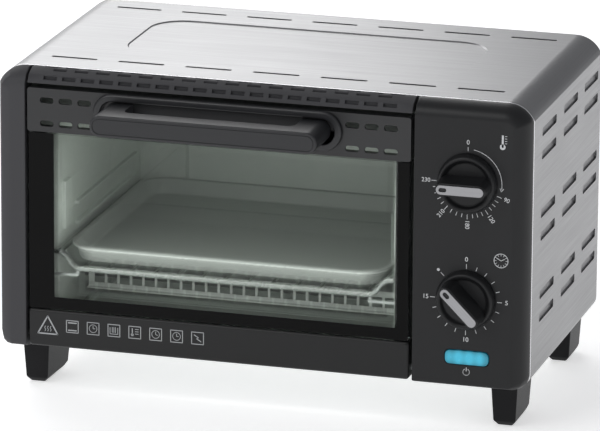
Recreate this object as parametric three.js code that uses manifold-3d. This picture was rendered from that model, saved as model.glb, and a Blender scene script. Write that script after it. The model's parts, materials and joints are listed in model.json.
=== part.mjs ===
// A countertop toaster oven, in millimetres: a folded steel body on four feet, a plastic front
// with two dials, and a glass door that hinges down and draws the wire rack out with it.
// X runs across the oven, Y from front to back and Z up. The origin lies on the table, under the
// middle of the overall box.
import * as THREE from 'three';
import { mergeVertices } from 'three/addons/utils/BufferGeometryUtils.js';
import Module from 'manifold-3d';

// ---- Driving dimensions -------------------------------------------------------------------
const WIDTH = 362.5;
const HEIGHT = 223;
const DEPTH = 240;
const HANDLE_REACH = 34; // how far the handle stands ahead of the front face
const FACE_Y = HANDLE_REACH - DEPTH / 2; // the flat front face
const GAP = 0.3; // left between pieces that rest on each other
const SHEET = 0.8; // inner sheet metal
const SKIN = 2; // wall of the plastic mouldings

const BODY = { base: 31.2, front: 16, back: 202.6, sheet: 0.9, flange: 22 };
const CORNER = { width: 17.5, radius: 19, footRadius: 9 };
// The front mouldings slope back in facets: each step gives its depth and how far it is drawn in.
const FACETS = [
  { depth: 0, side: 9.6, base: 3 },
  { depth: 4, side: 3.2, base: 1.4 },
  { depth: 11, side: 0, base: 0 },
  { depth: BODY.front - GAP, side: 0, base: 0 },
];

const DOOR = { left: -158.75, right: 103.15, bottom: 34.2, top: 211.7, back: 12 };
const STILE = { wide: 11, back: 10 };
const HINGE = { depth: 8.5, height: 41, pin: 2.2, bore: 2.6 };
const GLASS = { bottom: 60.1, top: 181.7, front: 0.6, back: 4.4 };
const HANDLE = { length: 154, height: 14.5, thick: 13, post: 19 };
const ESCUTCHEON = { length: 170, height: 27.2, proud: 2.7, band: 5 };

const CAVITY = { left: -143, right: 88.4, floor: 47, roof: 190, front: 18.6, back: 196.6 };
const FRAME = { front: 17, sheet: 1 };
const HEATER = { radius: 3.5, upper: 176, lower: 66, upperDepths: [70, 140], lowerDepths: [76, 134] };
const GUARD = { front: 60, back: 150, top: 74.4, bottom: 59.8, hole: 7, pitch: 8.8, holes: 24 };
const RACK = { front: 9, back: 186, rail: 98.6, deck: 87.6, wire: 2, bar: 1.25, bars: 13 };
const TRAY = { front: 11.6, back: 194.2, rim: 101.6, floor: 89.9, flange: 2.6, slope: 4, corner: 20 };

const DIAL = { x: 141.35, thermostat: 171.3, timer: 92.6, radius: 19.8, height: 21.2 };
const LENS = { x: 142.35, z: 53, length: 29.2, height: 9.2 };
const FOOT = {
  inner: 152.7, outer: 171, top: BODY.base - GAP, front: { start: 24, end: 65 },
  rear: { start: 172.6, end: DEPTH / 2 - FACE_Y },
};

// ---- Finishes -----------------------------------------------------------------------------
const finish = (color, roughness, metalness) => ({ color, roughness, metalness });
const FINISH = {
  brushedSteel: finish(0xb4b4b6, 0.36, 1),
  zincSheet: finish(0x9ea1a0, 0.42, 1),
  darkSheet: finish(0x55585a, 0.5, 1),
  blackPlastic: finish(0x2b2c2e, 0.48, 0),
  bandPlastic: finish(0x39393a, 0.45, 0),
  greyPlastic: finish(0x3a3b3f, 0.5, 0),
  smokedGlass: finish(0x5d6a62, 0.05, 0),
  trayEnamel: finish(0x7c817c, 0.3, 0.6),
  chromeWire: finish(0xb9bdb8, 0.22, 1),
  ceramic: finish(0xd9d4c6, 0.7, 0),
  brass: finish(0xb08d4a, 0.35, 1),
  blueLens: finish(0x52c4ea, 0.2, 0),
  whitePlastic: finish(0xd6d6d2, 0.5, 0),
  wireSleeve: finish(0xc9c4b4, 0.8, 0),
};

// ---- Solids -------------------------------------------------------------------------------
const wasm = await Module();
wasm.setup();

// Turns a closed mesh into a solid for cutting and joining.
function solidOf(geometry) {
  const bare = new THREE.BufferGeometry();
  bare.setAttribute('position', geometry.getAttribute('position').clone());
  if (geometry.index) bare.setIndex(geometry.index.clone());
  const merged = mergeVertices(bare, 1e-4);
  const corners = merged.index.array;
  const kept = [];
  for (let i = 0; i < corners.length; i += 3) {
    const [a, b, c] = corners.slice(i, i + 3);
    if (a !== b && b !== c && c !== a) kept.push(a, b, c);
  }
  return new wasm.Manifold(new wasm.Mesh({
    numProp: 3,
    vertProperties: Float32Array.from(merged.getAttribute('position').array),
    triVerts: Uint32Array.from(kept),
  }));
}

// Turns a solid back into a mesh.
function meshOf(solid) {
  const { vertProperties, triVerts } = solid.getMesh();
  const geometry = new THREE.BufferGeometry();
  geometry.setAttribute('position', new THREE.BufferAttribute(Float32Array.from(vertProperties), 3));
  geometry.setIndex([...triVerts]);
  return geometry;
}

const cut = (geometry, ...tools) => meshOf(tools.reduce((body, tool) => body.subtract(solidOf(tool)),
  solidOf(geometry)));
const join = (geometry, ...others) => meshOf(others.reduce((body, other) => body.add(solidOf(other)),
  solidOf(geometry)));
const common = (geometry, other) => meshOf(solidOf(geometry).intersect(solidOf(other)));

// ---- Shapes -------------------------------------------------------------------------------
// A depth is measured back from the flat front face; `deep` gives its Y.
const deep = (depth) => FACE_Y + depth;

// A block between two corners, its Y given as depths.
function block([x0, x1], [depth0, depth1], [z0, z1]) {
  const geometry = new THREE.BoxGeometry(x1 - x0, depth1 - depth0, z1 - z0);
  return geometry.translate((x0 + x1) / 2, deep((depth0 + depth1) / 2), (z0 + z1) / 2);
}

// Points along an arc, angles in degrees.
function arc(x, z, radius, from, to, steps) {
  return Array.from({ length: steps + 1 }, (_, i) => {
    const angle = THREE.MathUtils.degToRad(from + ((to - from) * i) / steps);
    return new THREE.Vector2(x + radius * Math.cos(angle), z + radius * Math.sin(angle));
  });
}

// A rectangle with rounded corners, centred on (x, z).
function rounded(x, z, width, height, radius, steps = 3) {
  const [dx, dz] = [width / 2 - radius, height / 2 - radius];
  return [
    ...arc(x + dx, z - dz, radius, -90, 0, steps),
    ...arc(x + dx, z + dz, radius, 0, 90, steps),
    ...arc(x - dx, z + dz, radius, 90, 180, steps),
    ...arc(x - dx, z - dz, radius, 180, 270, steps),
  ];
}

// The oven's outline seen from the front, drawn in by `side` at the sides and top and by `base`
// at the bottom. The roof corners meet the sides in a crease.
function outline(side, base = side) {
  const roofRadius = CORNER.radius - side;
  const crease = THREE.MathUtils.radToDeg(Math.acos((CORNER.width - side) / roofRadius));
  const footRadius = Math.max(CORNER.footRadius - side, 1.5);
  const roofX = WIDTH / 2 - CORNER.width;
  const footX = WIDTH / 2 - side - footRadius;
  const footZ = BODY.base + base + footRadius;
  const roofZ = HEIGHT - CORNER.radius;
  return [
    ...arc(footX, footZ, footRadius, -90, 0, 3),
    ...arc(roofX, roofZ, roofRadius, crease, 90, 6),
    ...arc(-roofX, roofZ, roofRadius, 90, 180 - crease, 6),
    ...arc(-footX, footZ, footRadius, 180, 270, 3),
  ];
}

// Extrudes an outline in X and Z from one depth to another, with holes if any.
function alongY(points, depth0, depth1, holes = []) {
  const shape = new THREE.Shape(points);
  shape.holes = holes.map((hole) => new THREE.Path(hole));
  const geometry = new THREE.ExtrudeGeometry(shape, { depth: depth1 - depth0, bevelEnabled: false });
  return geometry.rotateX(Math.PI / 2).translate(0, deep(depth1), 0);
}

// Extrudes an outline of [depth, height] points along X.
function alongX(points, x0, x1) {
  const shape = new THREE.Shape(points.map(([depth, z]) => new THREE.Vector2(deep(depth), z)));
  const geometry = new THREE.ExtrudeGeometry(shape, { depth: x1 - x0, bevelEnabled: false });
  const turn = new THREE.Matrix4().makeBasis(
    new THREE.Vector3(0, 1, 0), new THREE.Vector3(0, 0, 1), new THREE.Vector3(1, 0, 0));
  return geometry.applyMatrix4(turn).translate(x0, 0, 0);
}

// A round bar between two points.
function bar(start, end, radius, sides = 8) {
  const [from, to] = [new THREE.Vector3(...start), new THREE.Vector3(...end)];
  const geometry = new THREE.CylinderGeometry(radius, radius, from.distanceTo(to), sides);
  const turn = new THREE.Quaternion().setFromUnitVectors(
    new THREE.Vector3(0, 1, 0), to.clone().sub(from).normalize());
  const middle = from.clone().lerp(to, 0.5);
  return geometry.applyQuaternion(turn).translate(middle.x, middle.y, middle.z);
}

// A round bar along X or Y at a depth and a height.
const barX = (x0, x1, depth, z, radius, sides) => (
  bar([x0, deep(depth), z], [x1, deep(depth), z], radius, sides));
const barY = (x, depth0, depth1, z, radius, sides) => (
  bar([x, deep(depth0), z], [x, deep(depth1), z], radius, sides));

// A bent wire through points.
function wire(points, radius, steps, sides) {
  const path = new THREE.CatmullRomCurve3(points.map((point) => new THREE.Vector3(...point)));
  const ring = new THREE.Shape(arc(0, 0, radius, 0, 360, sides).slice(0, -1));
  return new THREE.ExtrudeGeometry(ring, { steps, extrudePath: path, bevelEnabled: false });
}

// A closed body through a list of rings of equally many points, each ring nearly flat.
function loft(rings) {
  const count = rings[0].length;
  const vertices = rings.flat();
  const faces = [];
  for (let r = 0; r + 1 < rings.length; r += 1) {
    for (let i = 0; i < count; i += 1) {
      const [a, b] = [r * count + i, r * count + ((i + 1) % count)];
      faces.push([a, b, b + count], [a, b + count, a + count]);
    }
  }
  const flat = rings[0].map((point) => (
    rings[0][0].z === rings[0][1].z && rings[0][1].z === rings[0][2].z
      ? new THREE.Vector2(point.x, point.y) : new THREE.Vector2(point.x, point.z)));
  const last = (rings.length - 1) * count;
  const clockwise = THREE.ShapeUtils.isClockWise(flat);
  for (const [a, p, q] of THREE.ShapeUtils.triangulateShape(flat, [])) {
    const [b, c] = clockwise ? [q, p] : [p, q];
    faces.push([a, c, b], [last + a, last + b, last + c]);
  }
  const volume = faces.reduce((sum, [a, b, c]) => (
    sum + vertices[a].dot(vertices[b].clone().cross(vertices[c]))), 0);
  const corners = volume > 0 ? faces : faces.map(([a, b, c]) => [a, c, b]);
  const geometry = new THREE.BufferGeometry().setFromPoints(vertices);
  return geometry.setIndex(corners.flat());
}

// Rings in X and Z at a depth, and in X and Y at a height.
const ringAtDepth = (points, depth) => points.map((p) => new THREE.Vector3(p.x, deep(depth), p.y));
const ringAtHeight = (points, z) => points.map((p) => new THREE.Vector3(p.x, p.y, z));

// A plate that faces the front, its front edges broken by a chamfer.
function slab([x0, x1], [z0, z1], [depth0, depth1], chamfer, corner) {
  const at = (inset) => rounded((x0 + x1) / 2, (z0 + z1) / 2, x1 - x0 - 2 * inset,
    z1 - z0 - 2 * inset, corner, 2);
  return loft([
    ringAtDepth(at(chamfer), depth0),
    ringAtDepth(at(0), depth0 + chamfer),
    ringAtDepth(at(0), depth1),
  ]);
}

// ---- The assembly -------------------------------------------------------------------------
const oven = new THREE.Group();
const doorGroup = new THREE.Group();
const rackGroup = new THREE.Group();
oven.add(doorGroup, rackGroup);

function add(name, geometry, material, parent = oven) {
  const bare = geometry.index ? geometry.toNonIndexed() : geometry;
  bare.deleteAttribute('uv');
  bare.computeVertexNormals();
  const mesh = new THREE.Mesh(bare, new THREE.MeshStandardMaterial(material));
  mesh.name = name;
  parent.add(mesh);
  return mesh;
}

// ---- Steel body ---------------------------------------------------------------------------
const LOUVRE = { depths: [57.5, 117, 175], heights: [190.8, 135.6, 80.3], length: 38.5, height: 4.4 };
const ROOF_SLOT = { depths: [41, 182.5], count: 7, pitch: 46.4, length: 32, width: 3.2 };

function outerWrapper() {
  const lip = WIDTH / 2 - BODY.flange;
  const inner = BODY.base + BODY.sheet;
  const section = [
    new THREE.Vector2(lip, BODY.base), ...outline(0), new THREE.Vector2(-lip, BODY.base),
    new THREE.Vector2(-lip, inner), ...outline(BODY.sheet).reverse(), new THREE.Vector2(lip, inner),
  ];
  const openings = [];
  for (const depth of ROOF_SLOT.depths) {
    for (let i = 0; i < ROOF_SLOT.count; i += 1) {
      const x = (i - (ROOF_SLOT.count - 1) / 2) * ROOF_SLOT.pitch;
      openings.push(block([x - ROOF_SLOT.length / 2, x + ROOF_SLOT.length / 2],
        [depth - ROOF_SLOT.width / 2, depth + ROOF_SLOT.width / 2], [HEIGHT - 3, HEIGHT + 3]));
    }
  }
  for (const depth of LOUVRE.depths) {
    for (const height of LOUVRE.heights) {
      for (const z of [height - 7.8, height + 7.8]) {
        openings.push(block([-WIDTH, WIDTH],
          [depth - LOUVRE.length / 2, depth + LOUVRE.length / 2],
          [z - LOUVRE.height / 2, z + LOUVRE.height / 2]));
      }
    }
  }
  return cut(alongY(section, BODY.front, BODY.back), ...openings);
}

// The back sheet sits inside the wrapper's rear edge and bulges back behind the cavity.
const BACK = { depth: 199.4, bulge: 4.6, screws: 150, screwHeights: [50, 206] };

function backPanel() {
  const sheet = alongY(outline(BODY.sheet + 0.5), BACK.depth, BACK.depth + SHEET);
  const bulgeAt = (grow, depth) => ringAtDepth(rounded(-25, 122, 200 + grow, 128 + grow, 12), depth);
  const bulge = loft([bulgeAt(0, BACK.depth), bulgeAt(-10, BACK.depth + BACK.bulge)]);
  const hollow = loft([bulgeAt(-2, BACK.depth - 1), bulgeAt(-14, BACK.depth + BACK.bulge - SHEET)]);
  const openings = [];
  for (let row = 0; row < 6; row += 1) {
    const z = 92 + row * 12;
    openings.push(block([118, 158], [190, 210], [z - 1.8, z + 1.8]));
  }
  for (let i = 0; i < 8; i += 1) {
    const x = -95 + i * 20;
    openings.push(block([x - 6, x + 6], [190, 210], [176, 180]));
  }
  for (const x of [-BACK.screws, BACK.screws]) {
    for (const z of BACK.screwHeights) openings.push(barY(x, 190, 210, z, 1.9));
  }
  openings.push(barY(CORD.x, 190, 210, CORD.z, CORD.neck + 2 * GAP, 12));
  return cut(join(sheet, bulge), hollow, ...openings);
}

function basePlate() {
  const seat = BODY.base + BODY.sheet + GAP;
  const plate = block([-172, 172], [19, 198.8], [seat, seat + 1]);
  const vents = [];
  for (let i = 0; i < 10; i += 1) {
    const x = -117 + i * 26;
    for (const depth of [62, 152]) {
      vents.push(block([x - 8, x + 8], [depth - 2, depth + 2], [seat - 5, seat + 5]));
    }
  }
  return cut(plate, ...vents);
}

// The pressed frame behind the mouldings: it edges the cavity, carries the controls and holds
// the door's two pins in tabs.
function frontFrame() {
  const mouth = rounded((CAVITY.left + CAVITY.right) / 2, (CAVITY.floor + CAVITY.roof) / 2,
    CAVITY.right - CAVITY.left, CAVITY.roof - CAVITY.floor, 4);
  const plate = alongY(outline(BODY.sheet + 0.5, 2.6), FRAME.front, FRAME.front + FRAME.sheet, [mouth]);
  const tab = (x) => block([x, x + 1.5], [HINGE.depth - 3.2, FRAME.front + 0.5],
    [HINGE.height - 3.3, HINGE.height + 5]);
  const pinHole = barX(-WIDTH / 2, WIDTH / 2, HINGE.depth, HINGE.height, HINGE.bore);
  const shaftHoles = [DIAL.thermostat, DIAL.timer].map((z) => barY(DIAL.x, 10, 25, z, 5));
  const lampHole = block([LENS.x - 11, LENS.x + 11], [10, 25], [LENS.z - 6, LENS.z + 6]);
  return cut(join(plate, tab(-168.5), tab(111)), pinHole, ...shaftHoles, lampHole);
}

// ---- Front mouldings ----------------------------------------------------------------------
const front = (inset, back) => loft(FACETS.map(({ depth, side, base }) => (
  ringAtDepth(outline(Math.min(side + inset, 14), base + inset), Math.min(depth + inset, back)))));
const mouldingBack = BODY.front - GAP;
const mouldingOutside = front(0, mouldingBack);
const mouldingInside = loft([
  ringAtDepth(outline(FACETS[0].side + 1, FACETS[0].base + SKIN), SKIN),
  ringAtDepth(outline(FACETS[1].side + SKIN, FACETS[1].base + SKIN), FACETS[1].depth + SKIN),
  ringAtDepth(outline(SKIN), FACETS[2].depth + 1),
  ringAtDepth(outline(SKIN), BODY.front + 4),
]);
const full = [-5, BODY.front + 10];

function leftPillar() {
  const [edge, far] = [-160.45, -WIDTH / 2 - 5];
  const shell = common(mouldingOutside, block([far, edge], full, [0, HEIGHT + 5]));
  const hollow = common(mouldingInside, block([far, edge - SKIN], full, [0, HEIGHT + 5]));
  const pinHole = barX(edge - 10, edge + 5, HINGE.depth, HINGE.height, HINGE.bore + 0.3);
  return cut(shell, hollow, pinHole);
}

function controlPanel() {
  const [edge, far] = [105.25, WIDTH / 2 + 5];
  const shell = common(mouldingOutside, block([edge, far], full, [0, HEIGHT + 5]));
  const hollow = common(mouldingInside, block([edge + SKIN, far], full, [0, HEIGHT + 5]));
  const pinHole = barX(edge - 5, edge + 10, HINGE.depth, HINGE.height, HINGE.bore + 0.3);
  const shaftHoles = [DIAL.thermostat, DIAL.timer].map((z) => barY(DIAL.x, -5, 8, z, 4));
  const lensHole = alongY(rounded(LENS.x, LENS.z, LENS.length + 0.8, LENS.height + 0.8, 3.4), -5, 8);
  return cut(shell, hollow, pinHole, ...shaftHoles, lensHole);
}

// The hood over the door: two staggered rows of slots in its shallow slope, one in the steep one.
const HOOD = {
  left: -158.85, right: 103.4, bottom: 214.6, slot: 9.1,
  rows: [
    { depth: 13.2, count: 17, pitch: 14.8, shift: 0, z: [210, 230], thick: 1.9 },
    { depth: 9.4, count: 16, pitch: 14.8, shift: 0, z: [210, 230], thick: 1.9 },
  ],
  face: { count: 19, pitch: 12.87, z: [217, 219.2], depth: 5 },
};

function ventHood() {
  const shell = common(mouldingOutside, block([HOOD.left, HOOD.right], full, [HOOD.bottom, HEIGHT + 5]));
  const hollow = common(mouldingInside,
    block([HOOD.left + 2, HOOD.right - 2], full, [HOOD.bottom + 1.6, HEIGHT + 5]));
  const slots = [];
  const place = ({ count, pitch }, i) => DOOR_CENTRE + (i - (count - 1) / 2) * pitch;
  for (const row of HOOD.rows) {
    for (let i = 0; i < row.count; i += 1) {
      const x = place(row, i);
      slots.push(block([x - HOOD.slot / 2, x + HOOD.slot / 2],
        [row.depth - row.thick / 2, row.depth + row.thick / 2], row.z));
    }
  }
  for (let i = 0; i < HOOD.face.count; i += 1) {
    const x = place(HOOD.face, i);
    slots.push(block([x - HOOD.slot / 2, x + HOOD.slot / 2], [-1, HOOD.face.depth], HOOD.face.z));
  }
  return cut(shell, hollow, ...slots);
}

// ---- Door ---------------------------------------------------------------------------------
const DOOR_CENTRE = (DOOR.left + DOOR.right) / 2;
const BAND_BOTTOM = GLASS.top + GAP;
const PANEL_TOP = GLASS.bottom - GAP;
const HANDLE_Z = 198.4;

function doorTopBand() {
  const body = slab([DOOR.left, DOOR.right], [BAND_BOTTOM, DOOR.top], [0, DOOR.back], 0.8, 1.6);
  const pocket = block([DOOR.left + 3, DOOR.right - 3], [SKIN, DOOR.back + 5],
    [BAND_BOTTOM + SKIN, DOOR.top - SKIN]);
  const scoop = alongY(rounded(DOOR_CENTRE, HANDLE_Z, 158, 18, 8.9, 5), -5, 1);
  const slots = [];
  for (const side of [-1, 1]) {
    for (let column = 0; column < 3; column += 1) {
      const x = DOOR_CENTRE + side * (117.4 - 13 * column);
      for (const z of [187.8, 203.6]) slots.push(block([x - 4.6, x + 4.6], [-5, 8], [z - 1.9, z + 1.9]));
    }
  }
  return cut(body, pocket, scoop, ...slots);
}

function doorLowerPanel() {
  const body = slab([DOOR.left, DOOR.right], [DOOR.bottom, PANEL_TOP], [0, DOOR.back], 1.2, 1.8);
  const pocket = block([DOOR.left + 16, DOOR.right - 16], [SKIN, DOOR.back + 5],
    [DOOR.bottom + SKIN, PANEL_TOP + 5]);
  const pins = [[DOOR.left - 5, DOOR.left + 10], [DOOR.right - 10, DOOR.right + 5]].map(([x0, x1]) => (
    barX(x0, x1, HINGE.depth, HINGE.height, HINGE.bore)));
  return cut(body, pocket, ...pins);
}

// The handle is a flat bar with round ends, held off the door by two posts of its own section.
function doorHandle() {
  const barOutline = (inset) => rounded(DOOR_CENTRE, HANDLE_Z, HANDLE.length - 2 * inset,
    HANDLE.height - 2 * inset, HANDLE.height / 2 - inset - 0.05, 6);
  const gripBack = HANDLE.thick - HANDLE_REACH;
  const grip = loft([
    ringAtDepth(barOutline(1), -HANDLE_REACH),
    ringAtDepth(barOutline(0), 1 - HANDLE_REACH),
    ringAtDepth(barOutline(0), gripBack - 1),
    ringAtDepth(barOutline(1), gripBack),
  ]);
  const posts = alongY(barOutline(0.6), gripBack - 4, 0.7);
  const between = HANDLE.length / 2 - HANDLE.post;
  const gapBlock = block([DOOR_CENTRE - between, DOOR_CENTRE + between], [gripBack - 6, 5], [150, 240]);
  return join(grip, cut(posts, gapBlock));
}

function handleEscutcheon() {
  const ring = (length, height) => rounded(DOOR_CENTRE, HANDLE_Z, length, height, height / 2 - 0.05, 6);
  const outer = loft([
    ringAtDepth(ring(ESCUTCHEON.length - 2, ESCUTCHEON.height - 2), -ESCUTCHEON.proud - GAP),
    ringAtDepth(ring(ESCUTCHEON.length, ESCUTCHEON.height), 1 - ESCUTCHEON.proud - GAP),
    ringAtDepth(ring(ESCUTCHEON.length, ESCUTCHEON.height), -GAP),
  ]);
  const { length, height, band } = ESCUTCHEON;
  return cut(outer, alongY(ring(length - 2 * band, height - 2 * band), -10, 5));
}

// A thin arm from each stile that passes under the rack's front wire and turns up behind it, so
// that the opening door draws the rack out.
const HOOK = { wide: 2, thick: 1.2, bottom: 81.6, top: 83.2, tip: 87, depth: 11.7 };

function rackHook(stile, tip) {
  const across = [Math.min(stile, tip), Math.max(stile, tip)];
  const prong = tip > stile ? [tip - HOOK.wide, tip] : [tip, tip + HOOK.wide];
  const near = STILE.back + GAP;
  return join(
    block(across, [near, near + HOOK.thick], [HOOK.bottom, HOOK.top]),
    block(prong, [near, HOOK.depth + HOOK.thick], [HOOK.bottom, HOOK.top]),
    block(prong, [HOOK.depth, HOOK.depth + HOOK.thick], [HOOK.bottom, HOOK.tip]));
}

// ---- Cavity -------------------------------------------------------------------------------
const inside = CAVITY;
const CAVITY_CENTRE = (CAVITY.left + CAVITY.right) / 2;
const heaterSeats = [
  ...HEATER.upperDepths.map((depth) => ({ depth, z: HEATER.upper })),
  ...HEATER.lowerDepths.map((depth) => ({ depth, z: HEATER.lower })),
];

// A side wall with a shelf for the rack's rail, a pair of ribs for a higher rack and a short
// upright rib near the mouth. `side` is -1 for the left wall and 1 for the right.
function cavityWall(side) {
  const face = side < 0 ? inside.left : inside.right;
  const span = (from, to) => (side < 0 ? [face + from, face + to] : [face - to, face - from]);
  const wall = block(span(-SHEET, 0), [inside.front, inside.back], [inside.floor, inside.roof]);
  const rib = (reach, depths, heights) => block(span(-0.2, reach), depths, heights);
  const holes = heaterSeats.map(({ depth, z }) => barX(face - 5, face + 5, depth, z, 4.6));
  const ribs = [
    rib(3.4, [24, 188], [93.2, 96.1]),
    rib(3, [52, 182], [105, 107.5]),
    rib(3, [52, 182], [119, 121.5]),
    rib(2.6, [25, 37], [109, 142]),
  ];
  return cut(join(wall, ...ribs), ...holes);
}

function cavityBackWall() {
  const wall = block([inside.left - SHEET, inside.right + SHEET],
    [inside.back + GAP, inside.back + GAP + SHEET], [inside.floor, inside.roof]);
  const panel = (half, depth) => ringAtDepth(
    rounded(CAVITY_CENTRE, 122, 2 * half, 118, 4), depth);
  const raised = loft([panel(81, inside.back + GAP + 0.2), panel(79, inside.back - 1.8)]);
  const hollow = loft([panel(79.6, inside.back + 3), panel(78, inside.back - 1)]);
  return cut(join(wall, raised), hollow);
}

const cavitySheet = (z0, z1) => block([inside.left - SHEET, inside.right + SHEET],
  [inside.front, inside.back + GAP + SHEET], [z0, z1]);

function crumbTray() {
  const outer = block([-136, 81], [24, 186], [47.3, 51.3]);
  return cut(outer, block([-135, 80], [25, 185], [48.1, 60]));
}

// A bent cover over the lower heaters, its front and back walls pierced by square holes.
function heaterGuard() {
  const middle = CAVITY_CENTRE;
  const half = 109;
  const [top, under] = [GUARD.top, GUARD.top - SHEET];
  const section = [
    [GUARD.front - 4, GUARD.bottom], [GUARD.front + SHEET, GUARD.bottom],
    [GUARD.front + SHEET, under], [GUARD.back - SHEET, under],
    [GUARD.back - SHEET, GUARD.bottom], [GUARD.back, GUARD.bottom], [GUARD.back, top],
    [GUARD.front, top], [GUARD.front, GUARD.bottom + SHEET], [GUARD.front - 4, GUARD.bottom + SHEET],
  ];
  const body = alongX(section, middle - half, middle + half);
  const tabs = [-70, 0, 70].map((x) => block([middle + x - 10, middle + x + 10],
    [GUARD.back - 2, inside.back - 2.4], [under, top]));
  const holes = [];
  for (let i = 0; i < GUARD.holes; i += 1) {
    const x = middle + (i - (GUARD.holes - 1) / 2) * GUARD.pitch;
    holes.push(block([x - GUARD.hole / 2, x + GUARD.hole / 2], [GUARD.front - 2, GUARD.back + 2],
      [GUARD.bottom + 3.4, GUARD.bottom + 3.4 + GUARD.hole]));
  }
  return cut(join(body, ...tabs), ...holes);
}

const heater = ({ depth, z }) => barX(inside.left - 8, inside.right + 8, depth, z, HEATER.radius, 10);

// A ceramic bar outside a side wall, in which the ends of two heaters sit.
function insulator(side, depths, z) {
  const x = side < 0 ? inside.left - SHEET - GAP : inside.right + SHEET + GAP;
  const span = side < 0 ? [x - 8, x] : [x, x + 8];
  const bores = depths.map((depth) => barX(x - 12, x + 12, depth, z, HEATER.radius + 0.6, 10));
  return cut(block(span, [depths[0] - 9, depths[1] + 9], [z - 7, z + 7]), ...bores);
}

// ---- Rack and tray ------------------------------------------------------------------------
// The rack's rails run along the walls. Its cross wires step down so that the deck hangs lower,
// and the front one reaches past the rails, to stop against the frame round the mouth.
const RAIL_REACH = (CAVITY.right - CAVITY.left) / 2 - 2.8;
const STEP = { foot: 102.6, top: 109.8 };

function crossWire(depth, end) {
  const half = [[STEP.foot, RACK.deck], [STEP.top, RACK.rail - 1], [end, RACK.rail]];
  const points = [...half.map(([x, z]) => [-x, z]).reverse(), ...half];
  const pieces = [];
  for (let i = 0; i + 1 < points.length; i += 1) {
    const [start, stop] = [points[i], points[i + 1]].map(([x, z]) => [CAVITY_CENTRE + x, deep(depth), z]);
    pieces.push(bar(start, stop, RACK.wire, 8));
    pieces.push(new THREE.SphereGeometry(RACK.wire, 8, 4).translate(...stop));
  }
  return join(...pieces);
}

function wireRack() {
  const rails = [-RAIL_REACH, RAIL_REACH].map((x) => (
    barY(CAVITY_CENTRE + x, RACK.front, RACK.back + 1, RACK.rail, RACK.wire)));
  const bars = [];
  const reach = STEP.foot - 5;
  for (let i = 0; i < RACK.bars; i += 1) {
    const x = CAVITY_CENTRE - reach + (2 * reach * i) / (RACK.bars - 1);
    bars.push(barY(x, RACK.front - 1, RACK.back + 1, RACK.deck + 0.1, RACK.bar, 6));
  }
  const [front, back] = [crossWire(RACK.front, RAIL_REACH + 4), crossWire(RACK.back, RAIL_REACH)];
  return join(front, back, ...rails, ...bars);
}

// A shallow pan: a flat flange, walls that slope in and a flat floor, 1.2 mm thick.
function bakingTray() {
  const [left, right] = [inside.left + 5.6, inside.right - 5.6];
  const [width, length] = [right - left, TRAY.back - TRAY.front];
  const thick = 1.2;
  const at = (inset, z) => ringAtHeight(rounded((left + right) / 2,
    deep((TRAY.front + TRAY.back) / 2), width - 2 * inset, length - 2 * inset,
    TRAY.corner - inset * 0.5, 5), z);
  const foot = TRAY.flange + TRAY.slope;
  return loft([
    at(foot + 2, TRAY.floor), at(foot, TRAY.floor + 1.5), at(TRAY.flange, TRAY.rim - thick),
    at(0, TRAY.rim - thick), at(0, TRAY.rim), at(TRAY.flange + 1, TRAY.rim),
    at(foot + 1.2, TRAY.floor + 2.2), at(foot + 3, TRAY.floor + thick),
  ]);
}

// ---- Controls -----------------------------------------------------------------------------
// A dial's own frame: local Z points out of the panel, and the pointer looks along local -X.
function dialGroup(z, turn) {
  const group = new THREE.Group();
  group.position.set(DIAL.x, FACE_Y, z);
  group.rotation.set(Math.PI / 2, 0, 0);
  const spun = new THREE.Group();
  spun.rotation.z = THREE.MathUtils.degToRad(turn);
  group.add(spun);
  oven.add(group);
  return spun;
}

const SHAFT = { radius: 3, end: 16, back: -24 };
const POINTER = { length: 31.6, width: 6.2, seat: 20.3 };

function stadium(length, width, steps = 5) {
  return rounded(0, 0, length, width, width / 2 - 0.02, steps);
}

function knobBody() {
  const bore = SHAFT.radius + 0.5;
  const profile = [
    [0, SHAFT.end + GAP], [bore, SHAFT.end + GAP], [bore, 1], [DIAL.radius, 1], [DIAL.radius, 2],
    [18.5, 5.6], [17.6, 6.2], [15.6, 5.6], [14.8, 3.8], [bore + 1.6, 3.8],
    [bore + 1.6, SHAFT.end + 2], [0, SHAFT.end + 2],
  ].map(([r, z]) => new THREE.Vector2(r, z));
  const disc = new THREE.LatheGeometry(profile, 32).rotateX(Math.PI / 2).scale(1, 1, 1);
  const grip = loft([
    ringAtHeight(stadium(36, 11.4), 3), ringAtHeight(stadium(35.4, 10.4), 12),
    ringAtHeight(stadium(34, 8.6), POINTER.seat - 0.6), ringAtHeight(stadium(33, 7.6), POINTER.seat),
  ]);
  const bodyOf = join(disc, grip);
  const shaftBore = new THREE.CylinderGeometry(bore, bore, SHAFT.end + GAP + 5, 10)
    .rotateX(Math.PI / 2).translate(0, 0, (SHAFT.end + GAP - 5) / 2);
  return cut(bodyOf, shaftBore);
}

// The bright insert on the grip, with an oval hole that marks the pointing end.
function knobPointer() {
  const shape = new THREE.Shape(stadium(POINTER.length, POINTER.width));
  shape.holes = [new THREE.Path(stadium(5.1, 2.7, 3).map((p) => new THREE.Vector2(p.x - 11.3, p.y)))];
  const depth = DIAL.height - POINTER.seat - GAP;
  return new THREE.ExtrudeGeometry(shape, { depth, bevelEnabled: false })
    .translate(0, 0, POINTER.seat + GAP);
}

const shaft = () => new THREE.CylinderGeometry(SHAFT.radius, SHAFT.radius, SHAFT.end - SHAFT.back, 8)
  .rotateX(Math.PI / 2).translate(0, 0, (SHAFT.end + SHAFT.back) / 2);

function dial(name, z, turn) {
  const group = dialGroup(z, turn);
  add(`${name}_knob`, knobBody(), FINISH.blackPlastic, group);
  add(`${name}_pointer`, knobPointer(), FINISH.brushedSteel, group);
  add(`${name}_shaft`, shaft(), FINISH.zincSheet, group);
}

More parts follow.
